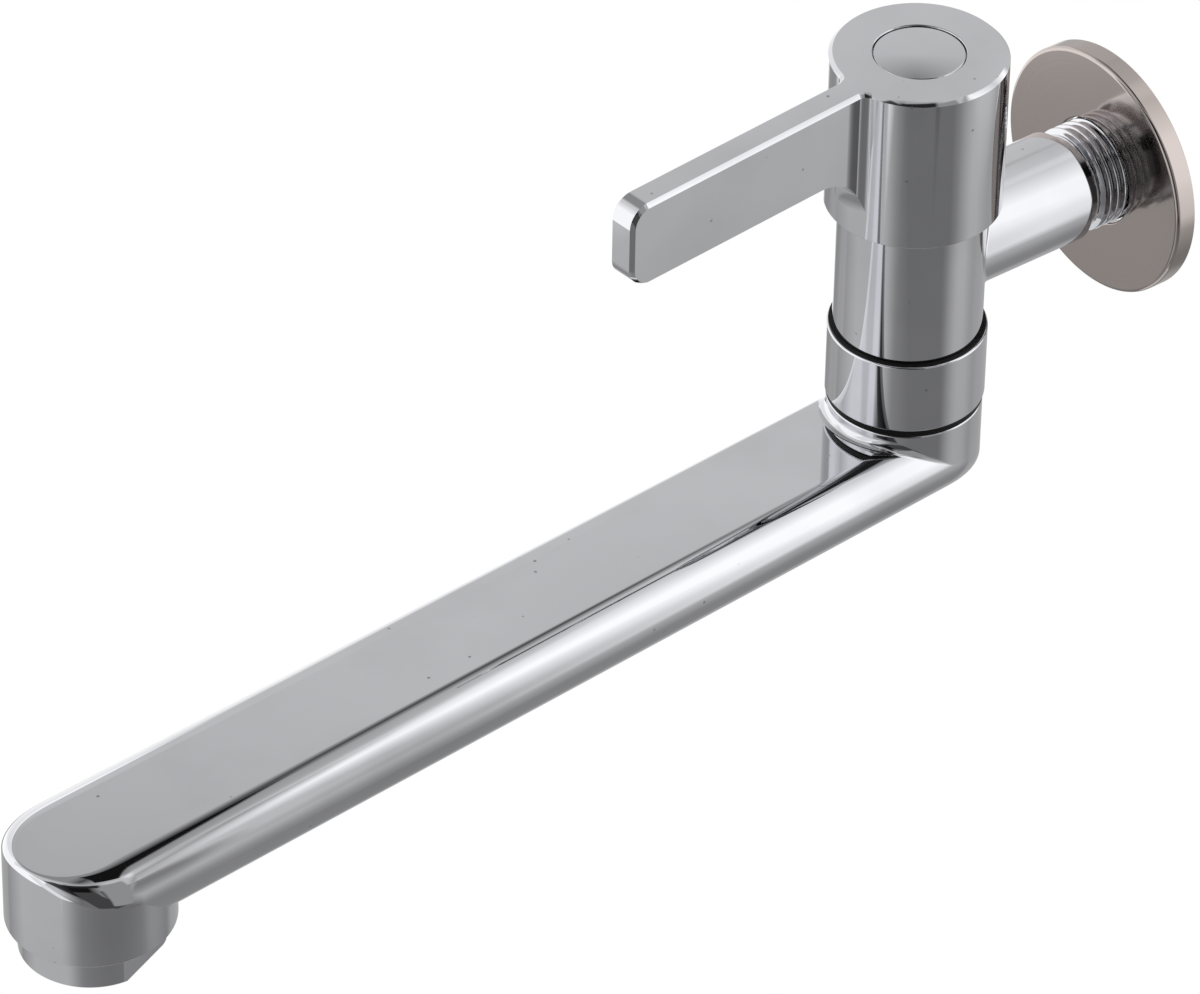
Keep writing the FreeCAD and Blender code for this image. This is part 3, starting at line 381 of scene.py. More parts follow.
def pierced(radius, half, hole_turn, hole_height, columns=120, sides=12, steps=40):
    """A cylinder's wall of a given half height with a round hole on its +Y side.

    Unrolled, it is a rectangle. Each line runs straight from the hole's edge to the rectangle's:
    (t, z) = (1 - v) hole(a) + v edge(a), where a is the direction of the edge's point. Returns the
    grid, its normals, the parameter a and the edge's turns along the upper side.
    """
    upper = np.linspace(np.pi, -np.pi, columns + 1)
    side = np.linspace(half, -half, sides + 1)[1:-1]
    edge_turn = np.concatenate([upper, np.full(len(side), -np.pi), upper[::-1],
                                np.full(len(side), np.pi), upper[:1]])
    edge_height = np.concatenate([np.full(len(upper), half), side, np.full(len(upper), -half),
                                  side[::-1], [half]])
    a = np.arctan2(edge_height, edge_turn * radius)
    v = np.linspace(0, 1, steps + 1)[:, None] ** 1.5  # the rows lie closer near the hole
    normals = to_wall((1 - v) * hole_turn(a) + v * edge_turn)
    points = normals * radius
    points[..., 2] = (1 - v) * hole_height(a) + v * edge_height
    return points, normals, a, upper


# ---------------------------------------------------------------- finishes

WHITE = (1.0, 1.0, 1.0, 1.0)


class Value:
    """A shader socket that takes part in sums; each sum adds one Math node."""

    def __init__(self, finish, socket):
        self.finish, self.socket = finish, socket

    def __add__(self, other):
        return self.finish.math("ADD", self, other)

    def __mul__(self, other):
        return self.finish.math("MULTIPLY", self, other)

    def __sub__(self, other):
        return self.finish.math("SUBTRACT", self, other)

    def __rsub__(self, other):
        return self.finish.math("SUBTRACT", other, self)

    __radd__, __rmul__ = __add__, __mul__


class Finish:
    """A node tree under construction: of a material, or of the world."""

    def __init__(self, owner):
        self.owner = owner
        owner.use_nodes = True
        self.tree = owner.node_tree
        self.tree.nodes.clear()

    def node(self, kind, settings=None, inputs=None, output=0):
        """Adds one node: its settings first, then the values or links of its sockets."""
        made = self.tree.nodes.new(kind)
        for name, value in (settings or {}).items():
            setattr(made, name, value)
        for name, value in (inputs or {}).items():
            if isinstance(value, Value):
                self.tree.links.new(value.socket, made.inputs[name])
            else:
                made.inputs[name].default_value = value
        return Value(self, made.outputs[output]) if len(made.outputs) else None

    def math(self, operation, first, second=0.0):
        return self.node("ShaderNodeMath", {"operation": operation}, {0: first, 1: second})

    def vector(self, operation, first, second=(0.0, 0.0, 0.0), output=0):
        return self.node("ShaderNodeVectorMath", {"operation": operation}, {0: first, 1: second},
                         output)

    def dot(self, first, second):
        return self.vector("DOT_PRODUCT", first, tuple(second), output=1)

    def place(self):
        return self.node("ShaderNodeTexCoord", output="Object")

    def part(self, vector, output):
        """One of a vector's three numbers."""
        return self.node("ShaderNodeSeparateXYZ", {}, {0: vector}, output)

    def noise(self, scale, detail=2.0):
        """Noise from 0 to 1 at so many grains per metre."""
        return self.node("ShaderNodeTexNoise", {},
                         {"Vector": self.place(), "Scale": scale, "Detail": detail})

    def lines(self, along, scale):
        """Noise from 0 to 1 along one number, at so many grains per metre."""
        return self.node("ShaderNodeTexNoise", {"noise_dimensions": "1D"},
                         {"W": along, "Scale": scale, "Detail": 3.0})

    def mixed(self, first, second, factor):
        """One colour into another."""
        return self.node("ShaderNodeMix", {"data_type": "RGBA"},
                         {0: factor, 6: first, 7: second}, output=2)

    def ramp(self, value, low, high, least=0.0, most=1.0):
        """A value stretched from one range to another and kept inside it."""
        return self.node("ShaderNodeMapRange", {}, {0: value, 1: low, 2: high, 3: least, 4: most})

    def bump(self, height, distance, strength):
        return self.node("ShaderNodeBump", {}, {"Height": height, "Distance": distance,
                                                "Strength": strength})

    def glow(self, strength):
        """Plain white light."""
        return self.node("ShaderNodeEmission", {}, {"Color": WHITE, "Strength": strength})

    def shader(self, **inputs):
        """The Principled shader, with its sockets named by words joined with underscores."""
        names = {name.replace("_", " "): value for name, value in inputs.items()}
        self.surface(self.node("ShaderNodeBsdfPrincipled", {}, names))

    def surface(self, shader):
        kind = "Material" if isinstance(self.owner, bpy.types.Material) else "World"
        self.node("ShaderNodeOutput" + kind, {}, {"Surface": shader})


def opaque(value, factor=1.0):
    """A colour with its alpha, made darker by a factor."""
    return tuple(float(part) * factor for part in value) + (1.0,)


def shades(name):
    """A new material's empty node tree."""
    return Finish(bpy.data.materials.new("finish_" + name))


def chrome_plate(name, tone, roughness):
    """Bright plating: faint waviness from polishing, a haze of fine dust and a few specks."""
    finish = shades(name)
    cloud, dust, wave = finish.noise(35.0, 3.0), finish.noise(2600.0), finish.noise(90.0, 1.0)
    # Specks are the middles of cells, kept where a second noise is high
    cells = finish.node("ShaderNodeTexVoronoi", {"feature": "F1"},
                        {"Vector": finish.place(), "Scale": 230.0})
    speck = finish.ramp(cells, 0.05, 0.09, 1.0, 0.0) \
        * finish.ramp(finish.noise(190.0, 0.0), 0.52, 0.60)
    base = finish.mixed(opaque(tone), opaque(tone, 0.90), finish.ramp(cloud, 0.45, 0.75))
    base = finish.mixed(base, opaque(tone, 0.45), speck * 0.8)
    rough = finish.ramp(cloud, 0.3, 0.7, roughness * 0.8, roughness * 1.3) \
        + finish.ramp(dust, 0.62, 0.75, 0.0, 0.03) + speck * 0.25
    finish.shader(Base_Color=base, Metallic=1.0, Roughness=rough,
                  Normal=finish.bump(wave + dust * 0.05 - speck * 0.6, 0.00001, 0.5))


def satin_plate(name, tone):
    """Warm plating over turned metal: faint rings about the inlet's axis and cloudy tones."""
    finish = shades(name)
    flat = finish.vector("MULTIPLY", finish.place(), (1, 0, 1))
    rings = finish.lines(finish.vector("LENGTH", flat, output=1), 3200.0)
    cloud = finish.noise(60.0, 3.0)
    base = finish.mixed(opaque(tone), opaque(tone, 0.92), finish.ramp(rings, 0.4, 0.7))
    base = finish.mixed(base, opaque(tone, 0.93), cloud)
    finish.shader(Base_Color=base, Metallic=1.0,
                  Roughness=finish.ramp(rings, 0.3, 0.7, 0.07, 0.11) + cloud * 0.03,
                  Normal=finish.bump(rings, 0.000002, 0.4))


def moulded(name, tone, roughness, grain=1800.0, gloss=0.5):
    """Moulded plastic or rubber: a fine even grain and small cloudy changes of tone."""
    finish = shades(name)
    skin = finish.noise(grain, 3.0)
    cloud = finish.noise(120.0, 2.0)
    base = finish.mixed(opaque(tone), opaque(tone, 0.8), finish.ramp(cloud, 0.4, 0.7))
    finish.shader(Base_Color=base, Specular_IOR_Level=gloss,
                  Roughness=finish.ramp(skin, 0.3, 0.7, roughness * 0.85, roughness * 1.15),
                  Normal=finish.bump(skin, 0.00001, 0.4))


def machined(name, tone, roughness):
    """Turned metal: rings left by the tool along the tap's axis, and darker stained clouds."""
    finish = shades(name)
    tool = finish.lines(finish.part(finish.place(), "Z"), 6000.0)
    cloud = finish.noise(150.0, 3.0)
    base = finish.mixed(opaque(tone), opaque(tone, 0.75), finish.ramp(cloud, 0.45, 0.8))
    finish.shader(Base_Color=base, Metallic=1.0,
                  Roughness=finish.ramp(tool, 0.3, 0.7, roughness * 0.8, roughness * 1.3),
                  Normal=finish.bump(tool, 0.000008, 0.5))


# ---------------------------------------------------------------- pieces

# Fixed sizes in metres: rounds and edges too fine to change, and what other pieces meet
FINE_EDGE = 0.00015       # round on a turned edge
BARREL_BAND = 0.0135      # half height of the barrel's band that the arm leaves from
CHAMBER_BAND = 0.0085     # half height of the chamber's band that the bore leaves from
ARM_TURNED = 0.030        # tap's axis to the start of the arm's turned end
ARM_EDGE = 0.0005         # bevel on the arm's shoulder
SHOULDER_EDGE = 0.00025   # round at the body's shoulder, the flange's rim and the button's recess
THREAD_START = 0.00005    # height of the thread's first turn over its root
INNER_EDGE = 0.0002       # round on the inner edges of flange, outlet and skirt
FLANGE_EDGE = 0.0003      # round at the front of the flange's hole
FLANGE_NECK = 0.0014      # length and thickness of the neck round that hole
NUT_EDGE = 0.0004         # round on the collar's outer edges
NUT_BORE = 0.0125         # inside radius of the collar and of the upper slip ring
NUT_LIP = 0.0022          # height of the collar's lower lip
NUT_LIP_BORE = 0.0106     # inside radius of that lip
RING_GAP = 0.0001         # neck to the lower slip ring
RING_PLAY = 0.00005       # collar to the lower slip ring
NECK_GROOVE = (0.0287, 0.0266, 0.0080)  # inlet axis down to its floor and roof, and its radius
NECK_DEPTH = 0.006        # waterway's visible depth below the flat top
MOUTH_DEPTH = 0.010       # outlet's visible depth above its rim
SPOUT_EDGE = 0.0001       # round on the outlet's outer edge
OUTLET_THREAD = 0.0119    # thread of the outlet ring
OUTLET_THREAD_DEPTH = 0.0042
OUTLET_SEAT = 0.0106      # inside of the ring below its thread
OUTLET_FLOOR = 0.001      # thickness of the ring's floor
OUTLET_LAND = 0.0008      # flat round the outlet's opening
OUTLET_EDGE = 0.0005      # bevel on the ring's lower edge
SCREW_SEAT = (0.0046, 0.0394)   # radius and level of the handle screw's head seat
SCREW_HOLE = (0.0021, 0.0380)   # radius and lower level of its hole
SKIRT_EDGE = 0.00012      # round on the skirt's outer edge
LEVER_STEP = 0.0005       # end corners to the lever's first sample, and between its two runs
LEVER_NEAR = -0.029       # place along the lever from which its samples lie closer
BUTTON_EDGE = 0.0004      # round on the button's edge
BUTTON_PLAY = 0.00005     # that round to the first ring of the dome


def body_shell(skin, s, place):
    """The body: barrel, arm with its rolled fillet, chamber, socket, bore and inlet thread."""
    f, outer = s.arm_root, s.radius

    def ball(a):
        """Centre of a ball that touches arm and barrel.

        x = (A + f) cos a, y = sqrt((B + f)^2 - x^2) and z = (A + f) sin a.
        """
        x, z = (s.arm + f) * np.cos(a), (s.arm + f) * np.sin(a)
        return np.stack([x, np.sqrt((outer + f) ** 2 - x * x), z], -1)

    def foot_turn(a):
        return np.arctan2(ball(a)[:, 0], ball(a)[:, 1])

    points, normals, a, turns = pierced(outer, BARREL_BAND, foot_turn, lambda a: ball(a)[:, 2])
    skin.grid(points, normals)

    # Fillet: centre + f u, with u turning from the barrel's side to the arm's
    centre = ball(a)
    spokes = np.stack([np.cos(a), np.zeros_like(a), np.sin(a)], -1)
    out = swept(unit(centre * [1, 1, 0]), spokes, 6)
    skin.grid(centre - f * out, out)

    # Arm, shoulder and relief about the arm's own axis
    along = np.array([0.0, 1.0, 0.0])
    thread_start = s.arm_end + s.relief_length
    root = s.thread - s.thread_depth
    arm_foot = np.stack([s.arm * np.cos(a), centre[:, 1], s.arm * np.sin(a)], -1)
    skin.grid(ruled(arm_foot, spokes * s.arm + along * ARM_TURNED, 8), spokes)
    skin.grid(*turned(path([
        (s.arm, ARM_TURNED), (s.arm, s.arm_end - ARM_EDGE, FINE_EDGE),
        (s.arm - ARM_EDGE, s.arm_end, FINE_EDGE), (s.relief, s.arm_end),
        (s.relief, thread_start), (root, thread_start)]), spokes, along))

    # Thread: r = root + depth wave((y - pitch a / 2 pi) / pitch), cut back by a cone at both ends
    end = place.axis_to_wall + s.thread_past_wall
    flat = 0.14  # share of half a pitch that is flat at the crest, and at the root

    def thread_radius(y, turn):
        phase = np.mod((y - thread_start) / s.thread_pitch - turn / (2 * np.pi), 1.0)
        wave = np.clip((1 - np.abs(2 * phase - 1) - flat) / (1 - 2 * flat), 0, 1)
        wave = 0.5 - 0.5 * np.cos(np.pi * wave)
        cone = np.minimum(y - thread_start, end - y) + root + THREAD_START
        return np.minimum(root + s.thread_depth * wave, cone)

    rows = np.linspace(thread_start, end, 190)[:, None]
    radius = thread_radius(rows, a)
    step, twist = 2e-5, 1e-3
    by_y = (thread_radius(rows + step, a) - thread_radius(rows - step, a)) / (2 * step)
    by_turn = (thread_radius(rows, a + twist) - thread_radius(rows, a - twist)) / (2 * twist)
    side = np.stack([-np.sin(a), np.zeros_like(a), np.cos(a)], -1)
    points = radius[..., None] * spokes + rows[..., None] * along
    slope = spokes - by_y[..., None] * along - (by_turn / radius)[..., None] * side
    skin.grid(points, unit(slope))
    skin.grid(ruled(spokes * root + along * thread_start, points[0]), -along)

    # Chamber with the bore's hole, the bore itself and the thread's end face
    inner, inner_out, b, _ = pierced(
        s.chamber, CHAMBER_BAND, lambda b: np.arcsin(s.bore * np.cos(b) / s.chamber),
        lambda b: s.bore * np.sin(b))
    skin.grid(inner, -inner_out)
    b_spokes = np.stack([np.cos(b), np.zeros_like(b), np.sin(b)], -1)
    mouth = np.sqrt(s.chamber ** 2 - (s.bore * np.cos(b)) ** 2)[:, None]
    far = b_spokes * s.bore + along * end
    skin.grid(ruled(b_spokes * s.bore + along * mouth, far, 12), -b_spokes)
    skin.grid(ruled(far, points[-1]), along)

    # Bands above and below the pierced walls
    directions = to_wall(turns)
    skin.grid(*turned(path([
        (outer, BARREL_BAND), (outer, s.top, FINE_EDGE), (s.chamber, s.top, FINE_EDGE),
        (s.chamber, CHAMBER_BAND)]), directions))
    skin.grid(*turned(path([
        (s.chamber, -CHAMBER_BAND), (s.chamber, -s.chamber_floor), (s.port, -s.chamber_floor),
        (s.port, -s.socket_top), (s.socket, -s.socket_top), (s.socket, -s.spigot_end),
        (s.spigot, -s.spigot_end), (s.spigot, -s.shoulder), (outer, -s.shoulder, SHOULDER_EDGE),
        (outer, -BARREL_BAND)]), directions))


def flange_shell(skin, s):
    """The stamped flange: a flat face, a rolled rim turned back to the wall and a short neck."""
    back = s.flange_depth - s.flange_sheet
    hole, neck = s.flange_hole, s.flange_hole + FLANGE_NECK
    inner = s.flange - s.flange_sheet
    # (radius, depth behind the face), material on the left of the way round
    outline = [(hole, -back + FLANGE_NECK, INNER_EDGE), (hole, -s.flange_depth, FLANGE_EDGE),
               (s.flange, -s.flange_depth, s.flange_bend), (s.flange, 0.0, SHOULDER_EDGE),
               (inner, 0.0, SHOULDER_EDGE),
               (inner, -back, max(s.flange_bend - s.flange_sheet, INNER_EDGE)),
               (neck, -back, INNER_EDGE), (neck, -back + FLANGE_NECK, INNER_EDGE)]
    skin.grid(*lying(turned(path(outline, closed=True, segments=8), ring(192))))


def nut_shell(skin, s):
    """The collar: a smooth sleeve with an inward lip at its lower end."""
    lip = -s.nut_bottom + NUT_LIP
    skin.grid(*turned(path([
        (s.nut, -s.nut_bottom, NUT_EDGE), (s.nut, -s.nut_top, NUT_EDGE), (NUT_BORE, -s.nut_top),
        (NUT_BORE, lip), (NUT_LIP_BORE, lip), (NUT_LIP_BORE, -s.nut_bottom)], closed=True)))


def plain_shell(skin, inner, outer, low, high):
    """A plain ring with fine rounds on its outer edges."""
    skin.grid(*turned(path([(outer, low, FINE_EDGE), (outer, high, FINE_EDGE), (inner, high),
                            (inner, low)], closed=True)))


def spout_shell(skin, s):
    """The spout: a tube between two half rounds, with a boss above and an outlet wall below.

    A sample of the plan is a point P with its outward normal N. Its section is the top round
    P - r N + r (cos e N + sin e k), the side wall, and the belly round with e from 0 downwards.
    Where the boss stands, the top round starts at the line where a ball of the fillet's radius
    touches it: cos e = (r - d) / (r + f), with d the ball's distance inside the plan.
    """
    top, bottom = -s.flat, -s.flat - s.height
    taper = (s.nose - s.heel) / s.reach
    slant = math.sqrt(1 - taper ** 2)
    out = np.array([slant, taper, 0.0])
    ahead = np.array([taper, -slant, 0.0])
    run = s.reach * slant
    tangent = math.atan2(slant, taper)
    f, ball = s.boss_root, s.boss + s.boss_root

    # Samples along one side, from the back of the heel to the tip of the nose
    heel_turn = np.linspace(0, tangent, 41)
    heel_out = to_wall(heel_turn)
    edge_turn = math.acos((s.heel - s.shoulder) / ball)  # from the side's normal to the flat's edge
    boss_turn = np.linspace(0, edge_turn, 29)[1:]
    boss_run = ball * np.sin(boss_turn)
    boss_inside = s.heel - ball * np.cos(boss_turn)
    tau = math.sqrt(s.nose ** 2 - (s.nose - s.belly) ** 2)
    free_run = np.linspace(boss_run[-1], run - tau, 61)[1:]
    outlet_run = run - tau * np.cos(np.linspace(0, np.pi / 2, 25))[1:]
    side_run = np.concatenate([boss_run, free_run, outlet_run])
    nose_turn = np.linspace(tangent, np.pi, 49)[1:]
    nose_out = to_wall(nose_turn)
    tip = np.array([0.0, -s.reach, 0.0])

    plan = np.concatenate([heel_out * s.heel, out * s.heel + side_run[:, None] * ahead,
                           nose_out * s.nose + tip])
    normal = np.concatenate([heel_out, np.broadcast_to(out, (len(side_run), 3)), nose_out])
    n_heel, n_low = len(heel_out), len(heel_out) + len(side_run)
    n_boss = n_heel + len(boss_turn)

    def ease(v):
        return v * v * (3 - 2 * v)

    r_top = np.full(len(plan), s.shoulder)
    r_top[n_low:] += (s.nose_round - s.shoulder) * ease((nose_turn - tangent) / (np.pi - tangent))
    r_low = np.full(n_low, s.belly)
    r_low[:n_heel] += (s.heel_round - s.belly) * ease(1 - heel_turn / tangent)

    start = np.full(len(plan), np.pi / 2)
    start[:n_heel] = math.acos((s.shoulder - (s.heel - ball)) / (s.shoulder + f))
    start[n_heel:n_boss] = np.arccos(np.clip((s.shoulder - boss_inside) / (s.shoulder + f), 0, 1))

    def rounded(count, level, radius, turns, exact):
        """A round along the first samples, with the exact normals of the round where told."""
        radius = radius[None, :, None]
        spin = np.cos(turns)[..., None] * normal[:count] + np.sin(turns)[..., None] * UP
        points = plan[:count] - radius * normal[:count] + radius * spin \
            + UP * level[None, :, None]
        normals = slopes(points, spin)
        normals[0], normals[-1], normals[:, exact] = spin[0], spin[-1], spin[:, exact]
        skin.grid(points, normals, mirrored=True)
        return points[-1]

    v = np.linspace(0, 1, 17)[:, None]
    rounded(len(plan), top - r_top, r_top, (1 - v) * start, slice(0, n_low))

    # Side wall, down to the belly round, whose level the nose shares
    wall_low = bottom + np.concatenate([r_low, np.full(len(plan) - n_low, s.belly)])
    skin.grid(ruled(plan + UP * (top - r_top)[:, None], plan + UP * wall_low[:, None], 3), normal,
              mirrored=True)

    # Belly round, cut off by the outlet's wall: r (1 - cos e) = R - sqrt(R^2 - t^2)
    stop = np.full(n_low, np.pi / 2)
    t = np.minimum(run - side_run, tau)
    near = run - side_run < tau + 1e-9
    cut = np.arccos(np.clip(1 - (s.nose - np.sqrt(s.nose ** 2 - t ** 2)) / s.belly, -1, 1))
    stop[n_heel:] = np.where(near, cut, np.pi / 2)
    belly_end = rounded(n_low, bottom + r_low, r_low, -v * stop, slice(n_heel, n_low))

    # Underside: rows straight across, then a strip to the outlet wall's arc
    first_near = n_low - int(near.sum())
    middle = 16  # samples from the middle to either side
    spread = np.linspace(1, -1, 2 * middle + 1)[None, :, None]
    rows = belly_end[:first_near, None] * ([1, 0, 0] * spread + [0, 1, 1])
    skin.grid(rows, -UP)
    arc_end = belly_end[first_near] - tip
    arc = to_wall(math.atan2(arc_end[0], arc_end[1]) * spread[0, :, 0]) * s.nose + tip + UP * bottom
    skin.grid(ruled(rows[-1], arc, 1), -UP)

    # Outlet wall: from the belly or the underside down to the rim, all the way round
    edge_line = np.concatenate([arc[:middle + 1][::-1][:-1], belly_end[first_near:],
                                plan[n_low:] + UP * (bottom + s.belly)])
    toward = unit((edge_line - tip) * [1, 1, 0])
    low_line = toward * s.nose + tip + UP * (SPOUT_EDGE - s.rim)
    skin.grid(ruled(edge_line, low_line, 8), toward, mirrored=True)
    roof = MOUTH_DEPTH - s.rim
    points, normals = turned(path([
        (s.mouth, roof), (s.mouth, -s.rim, INNER_EDGE), (s.nose, -s.rim, SPOUT_EDGE),
        (s.nose, SPOUT_EDGE - s.rim)]), toward)
    skin.grid(points + tip, normals, mirrored=True)
    centre = tip + UP * roof
    skin.grid(ruled(toward * s.mouth + centre, np.broadcast_to(centre, toward.shape)), -UP,
              mirrored=True)

    # Flat top, between the fillet's foot and the line where the top round starts
    line = (plan - r_top[:, None] * normal + UP * top)[n_boss - 1:]
    line = np.concatenate([line, line[-2::-1] * [-1, 1, 1]])
    flat_turn = np.pi - tangent - edge_turn
    foot_turn = np.linspace(flat_turn, -flat_turn, len(line))
    flat_foot = around_axis(foot_turn) * ball + UP * top
    flat_foot[0], flat_foot[-1] = line[0], line[-1]
    skin.grid(ruled(flat_foot, line, 10), UP)

    # Fillet round the boss, from the tube's skin to the boss's wall
    half_foot = foot_turn[:len(foot_turn) // 2 + 1][::-1]
    directions = around_axis(np.concatenate([
        half_foot, (np.pi - (tangent + boss_turn)[:-1])[::-1], (np.pi - heel_turn)[::-1]]))
    e = np.concatenate([np.full(len(half_foot), np.pi / 2), start[:n_boss - 1][::-1]])
    level = np.where(np.arange(len(e)) < len(half_foot), top + f,
                     top - s.shoulder + (s.shoulder + f) * np.sin(e))
    plan_out = np.concatenate([np.broadcast_to(out, (len(half_foot), 3)),
                               normal[:n_boss - 1][::-1]])
    to_tube = np.cos(e)[:, None] * plan_out + np.sin(e)[:, None] * UP
    spin = unit(swept(to_tube, directions, 12))
    skin.grid(directions * ball + UP * level[:, None] - f * spin, spin, mirrored=True)
    boss_wall, boss_high = directions * s.boss, -s.boss_top - s.boss_edge
    skin.grid(ruled(boss_wall + UP * level[:, None], boss_wall + UP * boss_high), directions,
              mirrored=True)
    groove_floor, groove_roof, groove = NECK_GROOVE
    well = -s.flat - NECK_DEPTH
    neck = path([(s.boss, boss_high), (s.boss, -s.boss_top, s.boss_edge), (s.neck, -s.boss_top),
                 (s.neck, -groove_floor), (groove, -groove_floor), (groove, -groove_roof),
                 (s.neck, -groove_roof), (s.neck, -s.neck_top), (s.neck_bore, -s.neck_top),
                 (s.neck_bore, well), (0.0, well)])
    skin.grid(*turned(neck, directions), mirrored=True)


def aerator_shell(skin, s, spout):
    """The outlet ring: r = min(R, flats / cos) round its two wrench flats, with a lower bevel."""
    half = s.aerator_flats / 2
    open_turn = math.acos(half / s.aerator)
    bottom, top = -s.aerator_end, -spout.rim
    floor, land = bottom + OUTLET_FLOOR, s.aerator_lip + OUTLET_LAND
    tip = np.array([0.0, -spout.reach, 0.0])
    inside = path([(OUTLET_THREAD, top), (OUTLET_THREAD, top + OUTLET_THREAD_DEPTH),
                   (OUTLET_SEAT, top + OUTLET_THREAD_DEPTH), (OUTLET_SEAT, floor),
                   (s.aerator_lip, floor), (s.aerator_lip, bottom, FINE_EDGE), (land, bottom)])

    meet = math.acos(half / OUTLET_THREAD)  # where the thread's circle crosses a flat
    side = np.pi / 2
    for centre, start, stop, flat in [
            (turn, low, high, True) for turn in (0.0, np.pi)
            for low, high in ((-open_turn, -meet), (-meet, meet), (meet, open_turn))] + [
            (turn, open_turn - side, side - open_turn, False) for turn in (side, 3 * side)]:
        turns = np.linspace(start, stop, 17 if flat else 41)
        d = around_axis(turns + centre + s.aerator_turn + side)
        outward = around_axis(np.array([centre]) + s.aerator_turn + side) if flat else d
        reach = (half / np.cos(turns) if flat else np.full_like(turns, s.aerator))[:, None]
        low_reach = np.minimum(reach, s.aerator - OUTLET_EDGE)
        low_level = bottom + np.clip(reach - (s.aerator - OUTLET_EDGE), 0, OUTLET_EDGE)
        low_line, thread_line = d * low_reach + UP * bottom, d * OUTLET_THREAD + UP * top
        wall_low, wall_high = d * reach + UP * low_level, d * reach + UP * top
        overhang = -1.0 if flat and start == -meet else 1.0
        skin.grid(ruled(wall_low, wall_high, 4) + tip, outward)
        skin.grid(ruled(low_line, wall_low, 1) + tip, unit(d - UP))
        skin.grid(ruled(d * land + UP * bottom, low_line) + tip, -UP)
        skin.grid(ruled(wall_high, thread_line) + tip, UP * overhang)
        points, normals = turned(inside, d)
        skin.grid(points + tip, normals)


